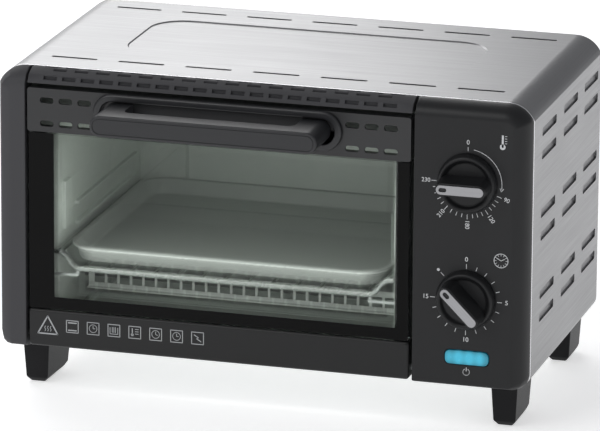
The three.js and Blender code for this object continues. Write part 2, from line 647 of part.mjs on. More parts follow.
// A control behind the frame, bored for its shaft.
function controlBody(z, geometry) {
  return cut(geometry, barY(DIAL.x, 10, 27, z, SHAFT.radius + GAP));
}

const CORD = { x: 150, z: 72, neck: 7 };

function cordGland() {
  const flange = barY(CORD.x, BACK.depth + SHEET + GAP, DEPTH / 2 - FACE_Y, CORD.z, CORD.neck + 3.5, 12);
  const neck = barY(CORD.x, BACK.depth - 4, DEPTH / 2 - FACE_Y - 1, CORD.z, CORD.neck, 12);
  return cut(join(flange, neck), barY(CORD.x, 180, 220, CORD.z, 3.6, 10));
}

function rearScrew(x, z) {
  const head = barY(x, BACK.depth + SHEET + GAP, BACK.depth + SHEET + 2.4, z, 3.6, 10);
  const thread = barY(x, BACK.depth - 7, BACK.depth + SHEET + 1, z, 1.5, 8);
  const slot = block([x - 2.4, x + 2.4], [BACK.depth + SHEET + 1.6, 220], [z - 0.45, z + 0.45]);
  const cross = block([x - 0.45, x + 0.45], [BACK.depth + SHEET + 1.6, 220], [z - 2.4, z + 2.4]);
  return cut(join(head, thread), slot, cross);
}

// ---- Feet ---------------------------------------------------------------------------------
// A tapered foot, chamfered round its sole, its underside rising away from the sole.
function foot(side, { start, end }) {
  const [x0, x1] = [FOOT.inner, FOOT.outer];
  const [y0, y1] = [deep(start), deep(end)];
  const plan = (inset, spread) => [
    [x0 + inset, y0 + inset], [x1 - inset, y0 + inset],
    [x1 - inset, y1 - inset], [x0 - spread + inset, y1 - inset],
  ].map(([x, y]) => new THREE.Vector2(side * x, y));
  const body = loft([
    ringAtHeight(plan(4.4, 1), 0), ringAtHeight(plan(1.6, 2), 3.4), ringAtHeight(plan(0, 3), FOOT.top),
  ]);
  const soleEnd = start + 0.6 * (end - start);
  const profile = [[soleEnd, -5], [soleEnd, 1.2], [end + 5, 6], [end + 5, -5]];
  const across = [side * (x0 - 9), side * (x1 + 5)].sort((a, b) => a - b);
  return cut(body, alongX(profile, ...across));
}

// ---- Put together -------------------------------------------------------------------------
add('outer_wrapper', outerWrapper(), FINISH.brushedSteel);
add('back_panel', backPanel(), FINISH.zincSheet);
add('base_plate', basePlate(), FINISH.zincSheet);
add('front_frame', frontFrame(), FINISH.zincSheet);
add('left_pillar', leftPillar(), FINISH.greyPlastic);
add('vent_hood', ventHood(), FINISH.greyPlastic);
add('control_panel', controlPanel(), FINISH.blackPlastic);
for (const [sideName, side] of [['left', -1], ['right', 1]]) {
  for (const [endName, place] of [['front', FOOT.front], ['rear', FOOT.rear]]) {
    add(`foot_${endName}_${sideName}`, foot(side, place), FINISH.blackPlastic);
  }
}
for (const [sideName, x] of [['left', -BACK.screws], ['right', BACK.screws]]) {
  for (const [levelName, z] of [['lower', BACK.screwHeights[0]], ['upper', BACK.screwHeights[1]]]) {
    add(`rear_screw_${levelName}_${sideName}`, rearScrew(x, z), FINISH.zincSheet);
  }
}
add('cord_gland', cordGland(), FINISH.blackPlastic);

add('cavity_left_wall', cavityWall(-1), FINISH.zincSheet);
add('cavity_right_wall', cavityWall(1), FINISH.zincSheet);
add('cavity_back_wall', cavityBackWall(), FINISH.zincSheet);
add('cavity_roof', cavitySheet(CAVITY.roof + GAP, CAVITY.roof + GAP + SHEET), FINISH.zincSheet);
add('cavity_floor', cavitySheet(CAVITY.floor - GAP - SHEET, CAVITY.floor - GAP), FINISH.zincSheet);
add('crumb_tray', crumbTray(), FINISH.zincSheet);
add('lower_heater_guard', heaterGuard(), FINISH.zincSheet);
const seatNames = ['upper_heater_front', 'upper_heater_rear', 'lower_heater_front', 'lower_heater_rear'];
heaterSeats.forEach((seat, i) => add(seatNames[i], heater(seat), FINISH.darkSheet));
for (const [sideName, side] of [['left', -1], ['right', 1]]) {
  add(`upper_insulator_${sideName}`, insulator(side, HEATER.upperDepths, HEATER.upper), FINISH.ceramic);
  add(`lower_insulator_${sideName}`, insulator(side, HEATER.lowerDepths, HEATER.lower), FINISH.ceramic);
}

add('door_top_band', doorTopBand(), FINISH.bandPlastic, doorGroup);
add('door_glass', slab([DOOR.left + 0.3, DOOR.right - 0.3], [GLASS.bottom, GLASS.top],
  [GLASS.front, GLASS.back], 0.5, 1), FINISH.smokedGlass, doorGroup);
add('door_lower_panel', doorLowerPanel(), FINISH.blackPlastic, doorGroup);
const stileDepth = [GLASS.back + GAP, STILE.back];
add('door_stile_left', block([DOOR.left + 0.3, DOOR.left + STILE.wide], stileDepth, [GLASS.bottom, GLASS.top]),
  FINISH.bandPlastic, doorGroup);
add('door_stile_right', block([DOOR.right - STILE.wide, DOOR.right - 0.3], stileDepth, [GLASS.bottom, GLASS.top]),
  FINISH.bandPlastic, doorGroup);
add('handle_escutcheon', handleEscutcheon(), FINISH.greyPlastic, doorGroup);
add('door_handle', doorHandle(), FINISH.greyPlastic, doorGroup);
add('hinge_pin_left', barX(-175.8, DOOR.left + 9, HINGE.depth, HINGE.height, HINGE.pin), FINISH.zincSheet,
  doorGroup);
add('hinge_pin_right', barX(DOOR.right - 9, 115, HINGE.depth, HINGE.height, HINGE.pin),
  FINISH.zincSheet, doorGroup);
add('rack_hook_left', rackHook(-153, -127), FINISH.zincSheet, doorGroup);
add('rack_hook_right', rackHook(101, 72.4), FINISH.zincSheet, doorGroup);

add('wire_rack', wireRack(), FINISH.chromeWire, rackGroup);
add('baking_tray', bakingTray(), FINISH.trayEnamel, rackGroup);

dial('thermostat', DIAL.thermostat, 0);
dial('timer', DIAL.timer, -45);
const behindFrame = FRAME.front + FRAME.sheet + GAP;
add('thermostat_body', controlBody(DIAL.thermostat,
  block([DIAL.x - 17, DIAL.x + 17], [behindFrame, behindFrame + 26],
    [DIAL.thermostat - 15, DIAL.thermostat + 15])), FINISH.ceramic);
add('timer_body', controlBody(DIAL.timer,
  barY(DIAL.x, behindFrame, behindFrame + 24, DIAL.timer, 27, 20)), FINISH.whitePlastic);
const bellDepth = behindFrame + 24 + GAP;
add('timer_bell', new THREE.LatheGeometry([[0, 0], [4, 0], [4, 6], [19, 7], [23, 12], [24, 18], [23, 18],
  [22, 13], [18, 8.2], [0, 7.2]].map(([r, z]) => new THREE.Vector2(r, z)), 20)
  .translate(DIAL.x, deep(bellDepth), DIAL.timer), FINISH.brass);
add('indicator_lens', alongY(rounded(LENS.x, LENS.z, LENS.length, LENS.height, 3.1, 4), -0.6, 5.2),
  FINISH.blueLens);
add('indicator_lamp', block([LENS.x - 10, LENS.x + 10], [5.5, 24], [LENS.z - 5, LENS.z + 5]),
  FINISH.whitePlastic);
add('heat_shield', block([106, 106 + SHEET], [22, 197], [52, 186]), FINISH.zincSheet);
add('terminal_block', block([128, 152], [168, 190], [86, 102]), FINISH.whitePlastic);
add('thermostat_wire', wire([[140, deep(166.4), 95], [138, deep(140), 120], [136, deep(100), 160],
  [138, deep(70), 174], [138, deep(45), 174]], 1.3, 16, 6), FINISH.wireSleeve);
add('heater_wire', wire([[125, deep(46.5), 180], [123, deep(60), 192], [114, deep(70), 200],
  [104, deep(74), 196], [101.5, deep(70), 184]], 1.3, 16, 6), FINISH.wireSleeve);

// The return spring is wound round the left pin, inside the pillar.
const SPRING = { turns: 3, radius: 3.3, wire: 0.7, start: -174.8, pitch: 1.7 };
const coil = Array.from({ length: SPRING.turns * 10 + 1 }, (_, i) => {
  const angle = (i / 10) * 2 * Math.PI;
  return [SPRING.start + (SPRING.pitch * i) / 10, deep(HINGE.depth) + SPRING.radius * Math.sin(angle),
    HINGE.height + SPRING.radius * Math.cos(angle)];
});
add('door_spring', wire(coil, SPRING.wire, SPRING.turns * 16, 6), FINISH.zincSheet);

export default oven;
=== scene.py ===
"""A countertop toaster oven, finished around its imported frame.

Blender works in metres. In the sub-assemblies a length written with MM is in metres, and a bare
one is in millimetres until it is multiplied by MM. The finishes and the studio use metres. X runs
across the oven, Y from front to back and Z up, with the origin on the table under the middle of
the oven.
"""

import json
import logging
import math
from collections.abc import Callable, Iterator, Sequence
from contextlib import contextmanager
from dataclasses import dataclass
from enum import Enum

import bpy
from mathutils import Matrix, Vector

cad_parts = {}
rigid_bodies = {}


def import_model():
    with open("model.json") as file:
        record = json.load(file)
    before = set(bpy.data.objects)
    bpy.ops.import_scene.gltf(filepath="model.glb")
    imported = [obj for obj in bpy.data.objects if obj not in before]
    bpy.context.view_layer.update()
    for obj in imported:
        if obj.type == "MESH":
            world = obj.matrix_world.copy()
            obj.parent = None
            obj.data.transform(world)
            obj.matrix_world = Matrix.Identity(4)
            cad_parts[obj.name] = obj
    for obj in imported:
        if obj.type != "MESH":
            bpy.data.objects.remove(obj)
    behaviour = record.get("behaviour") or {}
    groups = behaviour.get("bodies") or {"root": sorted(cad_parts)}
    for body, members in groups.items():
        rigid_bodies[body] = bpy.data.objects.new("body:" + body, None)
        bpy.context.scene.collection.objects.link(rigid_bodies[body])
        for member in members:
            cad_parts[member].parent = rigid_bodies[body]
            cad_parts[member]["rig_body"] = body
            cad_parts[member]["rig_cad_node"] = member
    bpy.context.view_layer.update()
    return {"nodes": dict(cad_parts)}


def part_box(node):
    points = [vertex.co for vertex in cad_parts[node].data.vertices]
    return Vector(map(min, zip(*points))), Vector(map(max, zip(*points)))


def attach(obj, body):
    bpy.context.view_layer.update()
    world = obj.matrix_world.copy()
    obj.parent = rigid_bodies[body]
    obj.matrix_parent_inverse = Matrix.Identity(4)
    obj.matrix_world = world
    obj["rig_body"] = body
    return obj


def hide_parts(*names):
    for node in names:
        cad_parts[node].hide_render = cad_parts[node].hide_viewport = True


LOG = logging.getLogger("oven")
MM = 0.001
Colour = tuple[float, float, float]
Point = tuple[float, float, float]


class Pick(Enum):
    """Which kind of mesh element a selection is made of."""

    POINTS = (True, False, False)
    EDGES = (False, True, False)
    FACES = (False, False, True)


class Surface(Enum):
    """How the surface of a finish is patterned."""

    GRAINED = "moulded_grain"
    BRUSHED = "brushed_lines"
    SPANGLED = "sheet_spangle"


# ---- Modelling bench ----------------------------------------------------------------------
class Bench:
    """Modelling steps on one object at a time, done with Blender's own operators."""

    @staticmethod
    def alone(piece: bpy.types.Object) -> bpy.types.Object:
        """Select only this object and make it active.

        Args:
            piece: The object to work on.

        Returns:
            The same object.
        """
        bpy.ops.object.select_all(action="DESELECT")
        piece.select_set(True)
        bpy.context.view_layer.objects.active = piece
        return piece

    @staticmethod
    @contextmanager
    def editing(
        piece: bpy.types.Object, pick: Pick, test: Callable[..., bool]
    ) -> Iterator[None]:
        """Open an object's mesh with the wanted elements selected.

        Args:
            piece: The object to edit.
            pick: The kind of element to select.
            test: Takes a point, an edge's two points, or a face's centre and normal.

        Yields:
            Nothing; the mesh is open for operators meanwhile.
        """
        Bench.alone(piece)
        mesh = piece.data
        for group in (mesh.vertices, mesh.edges, mesh.polygons):
            group.foreach_set("select", [False] * len(group))
        if pick is Pick.FACES:
            for face in mesh.polygons:
                face.select = test(face.center, face.normal)
        elif pick is Pick.EDGES:
            for edge in mesh.edges:
                edge.select = test(*(mesh.vertices[i].co for i in edge.vertices))
        else:
            for point in mesh.vertices:
                point.select = test(point.co)
        bpy.context.tool_settings.mesh_select_mode = pick.value
        bpy.ops.object.mode_set(mode="EDIT")
        yield
        bpy.ops.object.mode_set(mode="OBJECT")

    @staticmethod
    def settle(piece: bpy.types.Object) -> bpy.types.Object:
        """Put an object's place, turn and scale into its mesh and return it."""
        Bench.alone(piece)
        bpy.ops.object.transform_apply(location=True, rotation=True, scale=True)
        return piece

    @staticmethod
    def close(piece: bpy.types.Object, distance: float = 1e-6) -> bpy.types.Object:
        """Merge an object's doubled points and point its faces outwards.

        Args:
            piece: The object to close.
            distance: Points nearer than this become one.

        Returns:
            The same object.
        """
        with Bench.editing(piece, Pick.POINTS, lambda co: True):
            bpy.ops.mesh.remove_doubles(threshold=distance)
            bpy.ops.mesh.normals_make_consistent(inside=False)
        return piece

    @staticmethod
    def block(name: str, low: Sequence[float], high: Sequence[float]) -> bpy.types.Object:
        """Add a block between two corners.

        Args:
            name: The object's name.
            low: The lowest corner.
            high: The highest corner.

        Returns:
            The block, with its place in its mesh.
        """
        low_corner, high_corner = Vector(low), Vector(high)
        bpy.ops.object.select_all(action="DESELECT")
        bpy.ops.mesh.primitive_cube_add(size=1, location=(low_corner + high_corner) / 2)
        piece = bpy.context.object
        piece.name = name
        piece.scale = high_corner - low_corner
        return Bench.settle(piece)

    @staticmethod
    def plate(
        name: str, middle: Point, size: tuple[float, float], corner: float, back: float,
        steps: int = 8,
    ) -> bpy.types.Object:
        """Add an upright plate with rounded corners that faces the front.

        Args:
            name: The object's name.
            middle: The centre of its front face.
            size: Its width and height.
            corner: The radius of its corners.
            back: How far it goes back.
            steps: The segments of each corner.

        Returns:
            The plate, a closed solid.
        """
        bpy.ops.object.select_all(action="DESELECT")
        bpy.ops.mesh.primitive_plane_add(
            size=1, location=middle, rotation=(math.pi / 2, 0, 0)
        )
        piece = bpy.context.object
        piece.name = name
        piece.scale = (size[0], size[1], 1)
        Bench.settle(piece)
        with Bench.editing(piece, Pick.POINTS, lambda co: True):
            bpy.ops.mesh.bevel(
                offset=corner, offset_type="OFFSET", segments=steps, affect="VERTICES",
                clamp_overlap=False,
            )
        with Bench.editing(piece, Pick.FACES, lambda centre, normal: True):
            bpy.ops.mesh.extrude_region_move(
                TRANSFORM_OT_translate={"value": (0, back, 0)}
            )
        return Bench.close(piece)

    @staticmethod
    def path(name: str, points: Sequence[Sequence[float]]) -> bpy.types.Object:
        """Add a chain of edges through points.

        Args:
            name: The object's name.
            points: The places the chain passes through.

        Returns:
            The chain, which has no faces.
        """
        bpy.ops.object.select_all(action="DESELECT")
        bpy.ops.mesh.primitive_plane_add(size=MM, location=points[0])
        piece = bpy.context.object
        piece.name = name
        Bench.settle(piece)
        with Bench.editing(piece, Pick.POINTS, lambda co: True):
            bpy.ops.mesh.merge(type="CENTER")
            for start, stop in zip(points, points[1:]):
                bpy.ops.mesh.extrude_vertices_move(
                    TRANSFORM_OT_translate={"value": Vector(stop) - Vector(start)}
                )
        return piece

    @staticmethod
    def wire(
        name: str, points: Sequence[Sequence[float]], radius: float, roundness: int = 3
    ) -> bpy.types.Object:
        """Bend a round wire through points.

        Args:
            name: The object's name.
            points: The middle line.
            radius: The wire's radius.
            roundness: How finely its section is drawn.

        Returns:
            The wire as a closed mesh.
        """
        piece = Bench.path(name, points)
        Bench.alone(piece)
        bpy.ops.object.convert(target="CURVE")
        piece = bpy.context.object
        piece.data.bevel_depth = radius
        piece.data.bevel_resolution = roundness
        piece.data.use_fill_caps = True
        bpy.ops.object.convert(target="MESH")
        return Bench.close(bpy.context.object)

    @staticmethod
    def turned(name: str, profile: Sequence[tuple[float, float]], steps: int) -> bpy.types.Object:
        """Turn a profile round the vertical axis through the origin.

        Args:
            name: The object's name.
            profile: Radius and height pairs, starting and ending on the axis.
            steps: How many steps the full turn has.

        Returns:
            The turned solid.
        """
        piece = Bench.path(name, [(radius, 0, height) for radius, height in profile])
        with Bench.editing(piece, Pick.POINTS, lambda co: True):
            bpy.ops.mesh.spin(
                steps=steps, angle=2 * math.pi, center=(0, 0, 0), axis=(0, 0, 1),
                use_auto_merge=True,
            )
        return Bench.close(piece, 1e-5)

    @staticmethod
    def combine(piece: bpy.types.Object, tool: bpy.types.Object, how: str) -> None:
        """Cut or join one solid with another, which is used up.

        Args:
            piece: The solid that is changed.
            tool: The solid that cuts or joins it.
            how: DIFFERENCE, UNION or INTERSECT.
        """
        Bench.alone(piece)
        step = piece.modifiers.new("combine", "BOOLEAN")
        step.operation, step.solver, step.object = how, "EXACT", tool
        bpy.ops.object.modifier_apply(modifier=step.name)
        bpy.data.objects.remove(tool)

    @staticmethod
    def gather(name: str, parts: Sequence[bpy.types.Object]) -> bpy.types.Object:
        """Join several objects into one with its place in its mesh.

        Args:
            name: The name of the result.
            parts: The objects to join.

        Returns:
            The joined object.
        """
        bpy.ops.object.select_all(action="DESELECT")
        for part in parts:
            part.select_set(True)
        bpy.context.view_layer.objects.active = parts[0]
        bpy.ops.object.join()
        joined = bpy.context.object
        joined.name = name
        return Bench.settle(joined)

    @staticmethod
    def twin(piece: bpy.types.Object, change: Matrix) -> bpy.types.Object:
        """Copy an object with its own mesh and put the copy elsewhere.

        Args:
            piece: The object to copy.
            change: The move, in the oven's frame.

        Returns:
            The copy.
        """
        copy = piece.copy()
        copy.data = piece.data.copy()
        bpy.context.scene.collection.objects.link(copy)
        copy.data.transform(change)
        if change.determinant() < 0:
            Bench.close(copy)
        return copy

    @staticmethod
    def soften(
        piece: bpy.types.Object, width: float, steps: int = 2, sharper: float = 34,
        smooth: float = 50,
    ) -> bpy.types.Object:
        """Round an object's sharp edges a little and smooth its curves.

        Args:
            piece: The object to soften.
            width: The width of the rounding.
            steps: Its segments.
            sharper: Edges that turn by more than this many degrees are rounded.
            smooth: Edges that turn by less than this many degrees are shaded smooth.

        Returns:
            The same object.
        """
        Bench.alone(piece)
        if width:
            step = piece.modifiers.new("rounding", "BEVEL")
            step.width, step.segments = width, steps
            step.limit_method, step.angle_limit = "ANGLE", math.radians(sharper)
            step.use_clamp_overlap = False
            bpy.ops.object.modifier_apply(modifier=step.name)
        bpy.ops.object.shade_smooth_by_angle(angle=math.radians(smooth))
        step = piece.modifiers.new("even", "WEIGHTED_NORMAL")
        step.keep_sharp = True
        bpy.ops.object.modifier_apply(modifier=step.name)
        return piece


# ---- Finishes -----------------------------------------------------------------------------
class Effects:
    """Shader effects that several materials share, each a node group built once."""

    @staticmethod
    def _empty(
        name: str, inputs: Sequence[tuple[str, str, float]], outputs: Sequence[str]
    ) -> tuple[bpy.types.NodeTree, bpy.types.Node, bpy.types.Node]:
        """Start a group with its sockets.

        Args:
            name: The group's name.
            inputs: Socket names, socket types and starting values.
            outputs: The names of its number outputs.

        Returns:
            The tree, its input node and its output node.
        """
        tree = bpy.data.node_groups.new(name, "ShaderNodeTree")
        for label, kind, value in inputs:
            socket = tree.interface.new_socket(label, in_out="INPUT", socket_type=kind)
            socket.default_value = value
        for label in outputs:
            tree.interface.new_socket(label, in_out="OUTPUT", socket_type="NodeSocketFloat")
        return tree, tree.nodes.new("NodeGroupInput"), tree.nodes.new("NodeGroupOutput")

    @staticmethod
    def _noise(
        tree: bpy.types.NodeTree, where: bpy.types.NodeSocket, scale: float, detail: float
    ) -> bpy.types.Node:
        """Add a noise that reads a place.

        Args:
            tree: The group to add it to.
            where: The socket that gives the place.
            scale: How fine the noise is, per metre.
            detail: How many octaves it has.

        Returns:
            The noise node.
        """
        noise = tree.nodes.new("ShaderNodeTexNoise")
        noise.inputs["Scale"].default_value = scale
        noise.inputs["Detail"].default_value = detail
        tree.links.new(where, noise.inputs["Vector"])
        return noise

    @classmethod
    def moulded_grain(cls) -> bpy.types.NodeTree:
        """Build the fine spark texture of a plastic moulding and return its group."""
        tree, given, out = cls._empty(
            "moulded_grain", [("Size", "NodeSocketFloat", 1500.0)], ["Height", "Tone"]
        )
        place = tree.nodes.new("ShaderNodeTexCoord")
        fine = cls._noise(tree, place.outputs["Object"], 1500, 2)
        tree.links.new(given.outputs["Size"], fine.inputs["Scale"])
        broad = cls._noise(tree, place.outputs["Object"], 22, 3)
        tree.links.new(fine.outputs["Fac"], out.inputs["Height"])
        tree.links.new(broad.outputs["Fac"], out.inputs["Tone"])
        return tree

    @classmethod
    def brushed_lines(cls) -> bpy.types.NodeTree:
        """Build brushing that runs across the roof and along the sides and return its group."""
        tree, given, out = cls._empty(
            "brushed_lines", [("Size", "NodeSocketFloat", 1.0), ("Turn", "NodeSocketFloat", 0.0)],
            ["Height", "Tone"],
        )
        place = tree.nodes.new("ShaderNodeTexCoord")
        spin = tree.nodes.new("ShaderNodeVectorRotate")
        spin.rotation_type = "Y_AXIS"
        tree.links.new(place.outputs["Object"], spin.inputs["Vector"])
        tree.links.new(given.outputs["Turn"], spin.inputs["Angle"])
        stretched = []
        for scale in ((14, 1500, 1500), (1500, 14, 1500)):
            stretch = tree.nodes.new("ShaderNodeMapping")
            stretch.inputs["Scale"].default_value = scale
            tree.links.new(spin.outputs["Vector"], stretch.inputs["Vector"])
            noise = cls._noise(tree, stretch.outputs["Vector"], 1, 3)
            tree.links.new(given.outputs["Size"], noise.inputs["Scale"])
            stretched.append(noise)
        facing = tree.nodes.new("ShaderNodeNewGeometry")
        split = tree.nodes.new("ShaderNodeSeparateXYZ")
        tree.links.new(facing.outputs["Normal"], split.inputs["Vector"])
        sideways = tree.nodes.new("ShaderNodeMath")
        sideways.operation = "ABSOLUTE"
        tree.links.new(split.outputs["X"], sideways.inputs[0])
        blend = tree.nodes.new("ShaderNodeMix")
        tree.links.new(sideways.outputs["Value"], blend.inputs[0])
        tree.links.new(stretched[0].outputs["Fac"], blend.inputs[2])
        tree.links.new(stretched[1].outputs["Fac"], blend.inputs[3])
        broad = cls._noise(tree, place.outputs["Object"], 9, 3)
        tree.links.new(blend.outputs[0], out.inputs["Height"])
        tree.links.new(broad.outputs["Fac"], out.inputs["Tone"])
        return tree

    @classmethod
    def sheet_spangle(cls) -> bpy.types.NodeTree:
        """Build the dull flowered look of zinc-coated sheet and return its group."""
        tree, given, out = cls._empty(
            "sheet_spangle", [("Size", "NodeSocketFloat", 150.0)], ["Height", "Tone"]
        )
        place = tree.nodes.new("ShaderNodeTexCoord")
        cells = tree.nodes.new("ShaderNodeTexVoronoi")
        tree.links.new(place.outputs["Object"], cells.inputs["Vector"])
        tree.links.new(given.outputs["Size"], cells.inputs["Scale"])
        split = tree.nodes.new("ShaderNodeSeparateColor")
        tree.links.new(cells.outputs["Color"], split.inputs["Color"])
        broad = cls._noise(tree, place.outputs["Object"], 30, 4)
        both = tree.nodes.new("ShaderNodeMix")
        both.inputs[0].default_value = 0.65
        tree.links.new(split.outputs["Red"], both.inputs[2])
        tree.links.new(broad.outputs["Fac"], both.inputs[3])
        fine = cls._noise(tree, place.outputs["Object"], 900, 2)
        tree.links.new(fine.outputs["Fac"], out.inputs["Height"])
        tree.links.new(both.outputs[0], out.inputs["Tone"])
        return tree

    @classmethod
    def edge_wear(cls) -> bpy.types.NodeTree:
        """Build the mask of rubbed outer edges and return its group."""
        tree, given, out = cls._empty(
            "edge_wear", [("Amount", "NodeSocketFloat", 0.3)], ["Mask"]
        )
        shape = tree.nodes.new("ShaderNodeNewGeometry")
        edge = tree.nodes.new("ShaderNodeMapRange")
        edge.inputs["From Min"].default_value = 0.53
        edge.inputs["From Max"].default_value = 0.64
        tree.links.new(shape.outputs["Pointiness"], edge.inputs["Value"])
        amount = tree.nodes.new("ShaderNodeMath")
        amount.operation = "MULTIPLY"
        tree.links.new(edge.outputs["Result"], amount.inputs[0])
        tree.links.new(given.outputs["Amount"], amount.inputs[1])
        tree.links.new(amount.outputs["Value"], out.inputs["Mask"])
        return tree

    @classmethod
    def get(cls, name: str) -> bpy.types.NodeTree:
        """Return the named group, building it on its first use."""
        return bpy.data.node_groups.get(name) or getattr(cls, name)()


@dataclass(frozen=True)
class Finish:
    """A finish: its two colours, how rough it is and how its surface is patterned."""

    name: str
    colour: Colour
    tone: Colour
    roughness: float
    surface: Surface = Surface.GRAINED
    size: float = 1500.0
    bump: float = 0.1
    spread: float = 0.12
    metallic: float = 0.0
    specular: float = 0.5
    coat: float = 0.0
    worn: float = 0.0
    turn: float = 0.0

    def material(self) -> bpy.types.Material:
        """Return this finish's material, building it on its first use."""
        found = bpy.data.materials.get(self.name)
        return found or self._build()

    def _build(self) -> bpy.types.Material:
        """Build the material's nodes and return it."""
        material = bpy.data.materials.new(self.name)
        material.use_nodes = True
        tree = material.node_tree
        shader = tree.nodes["Principled BSDF"]
        shader.inputs["Metallic"].default_value = self.metallic
        shader.inputs["Specular IOR Level"].default_value = self.specular
        shader.inputs["Coat Weight"].default_value = self.coat
        pattern = self._effect(tree, self.surface.value)
        pattern.inputs["Size"].default_value = self.size
        if self.surface is Surface.BRUSHED:
            pattern.inputs["Turn"].default_value = self.turn
        colour = self._mix(tree, pattern.outputs["Tone"], self.colour, self.tone)
        if self.worn:
            wear = self._effect(tree, "edge_wear")
            wear.inputs["Amount"].default_value = self.worn
            rubbed = tuple(min(1.0, channel * 2.2 + 0.03) for channel in self.tone)
            worn = self._mix(tree, wear.outputs["Mask"], self.colour, rubbed)
            tree.links.new(colour.outputs[2], worn.inputs[6])
            colour = worn
        tree.links.new(colour.outputs[2], shader.inputs["Base Color"])
        rough = tree.nodes.new("ShaderNodeMapRange")
        rough.inputs["From Min"].default_value = 0.25
        rough.inputs["From Max"].default_value = 0.75
        rough.inputs["To Min"].default_value = self.roughness - self.spread / 2
        rough.inputs["To Max"].default_value = self.roughness + self.spread / 2
        tree.links.new(pattern.outputs["Height"], rough.inputs["Value"])
        tree.links.new(rough.outputs["Result"], shader.inputs["Roughness"])
        relief = tree.nodes.new("ShaderNodeBump")
        relief.inputs["Strength"].default_value = self.bump
        relief.inputs["Distance"].default_value = 0.1 * MM
        tree.links.new(pattern.outputs["Height"], relief.inputs["Height"])
        tree.links.new(relief.outputs["Normal"], shader.inputs["Normal"])
        self._special(tree, shader)
        return material

    def _special(self, tree: bpy.types.NodeTree, shader: bpy.types.Node) -> None:
        """Set what only one kind of finish has; a plain finish has nothing more."""

    @staticmethod
    def _effect(tree: bpy.types.NodeTree, name: str) -> bpy.types.Node:
        """Place a shared effect in a material and return its node."""
        node = tree.nodes.new("ShaderNodeGroup")
        node.node_tree = Effects.get(name)
        return node

    @staticmethod
    def _mix(
        tree: bpy.types.NodeTree, factor: bpy.types.NodeSocket, first: Colour, second: Colour
    ) -> bpy.types.Node:
        """Mix two colours by a mask.

        Args:
            tree: The material's nodes.
            factor: The socket that gives the mask.
            first: The colour where the mask is 0.
            second: The colour where the mask is 1.

        Returns:
            The mix node; its colour comes from output 2.
        """
        mix = tree.nodes.new("ShaderNodeMix")
        mix.data_type = "RGBA"
        mix.inputs[6].default_value = (*first, 1)
        mix.inputs[7].default_value = (*second, 1)
        tree.links.new(factor, mix.inputs[0])
        return mix


@dataclass(frozen=True)
class GlassFinish(Finish):
    """Tinted clear glass."""

    alpha: float = 0.4

    def _special(self, tree: bpy.types.NodeTree, shader: bpy.types.Node) -> None:
        """Let light through.

        Args:
            tree: The material's nodes.
            shader: Its shader.
        """
        shader.inputs["Transmission Weight"].default_value = 1.0
        shader.inputs["IOR"].default_value = 1.46
        shader.inputs["Alpha"].default_value = self.alpha


@dataclass(frozen=True)
class GlowFinish(Finish):
    """A plastic lens lit from behind by a row of small lamps."""

    middle: Point = (0.0, 0.0, 0.0)
    half: tuple[float, float] = (0.0146, 0.0046)
    strength: float = 1.0

    def _special(self, tree: bpy.types.NodeTree, shader: bpy.types.Node) -> None:
        """Make the lens glow, brightest over its lamps and dim at its rim.

        Args:
            tree: The material's nodes.
            shader: Its shader.
        """
        place = tree.nodes.new("ShaderNodeTexCoord")
        centre = tree.nodes.new("ShaderNodeMapping")
        centre.vector_type = "TEXTURE"
        centre.inputs["Location"].default_value = self.middle
        centre.inputs["Scale"].default_value = (self.half[0], 1, self.half[1])
        tree.links.new(place.outputs["Object"], centre.inputs["Vector"])
        split = tree.nodes.new("ShaderNodeSeparateXYZ")
        tree.links.new(centre.outputs["Vector"], split.inputs["Vector"])

        def math_node(operation: str, first: object, second: object) -> bpy.types.NodeSocket:
            """Add one sum; an argument is a socket or a number. Returns its output."""
            node = tree.nodes.new("ShaderNodeMath")
            node.operation = operation
            for slot, value in enumerate((first, second)):
                if isinstance(value, bpy.types.NodeSocket):
                    tree.links.new(value, node.inputs[slot])
                else:
                    node.inputs[slot].default_value = value
            return node.outputs[0]

        across = math_node("POWER", math_node("ABSOLUTE", split.outputs["X"], 0), 4)
        up = math_node("POWER", math_node("ABSOLUTE", split.outputs["Z"], 0), 2.4)
        rim = math_node("SUBTRACT", 1.0, math_node("ADD", across, up))
        lamps = math_node("SINE", math_node("MULTIPLY", split.outputs["X"], 12.5), 0)
        spots = math_node("MULTIPLY", math_node("ADD", lamps, 1.0), 0.16)
        glow = math_node("ADD", math_node("MULTIPLY", rim, 0.85), spots)
        colour = self._mix(tree, glow, (0.0, 0.035, 0.06), (0.06, 0.52, 0.75))
        tree.links.new(colour.outputs[2], shader.inputs["Emission Color"])
        shader.inputs["Emission Strength"].default_value = self.strength


BRUSHED_STEEL = Finish(
    "cover_brushed_steel", (0.245, 0.245, 0.25), (0.30, 0.30, 0.305), 0.36, Surface.BRUSHED,
    size=1.0, bump=0.08, spread=0.14, metallic=1.0,
)
# A copy of the cover steel for the louvre cups, hardly metallic, so the cups show as an even grey
# of painted shade.
SHADED_STEEL = Finish(
    "louvre_shaded_steel", (0.25, 0.25, 0.255), (0.31, 0.31, 0.315), 0.42, Surface.BRUSHED,
    size=1.0, bump=0.05, spread=0.14, metallic=0.15,
)
# Bright steel: the rear screws' own colour, and on the cover's front edge a thin band whose pale
# colour is a painted highlight of the rounded edge.
BRIGHT_STEEL_AND_EDGE_HIGHLIGHT = Finish(
    "bright_steel_and_edge_highlight", (0.80, 0.80, 0.82), (0.92, 0.92, 0.93), 0.22, Surface.BRUSHED,
    size=1.0, bump=0.04, spread=0.1, metallic=1.0,
)
ZINC = Finish(
    "zinc_sheet", (0.46, 0.48, 0.46), (0.60, 0.62, 0.60), 0.44, Surface.SPANGLED,
    size=160.0, bump=0.05, spread=0.14, metallic=0.85,
)
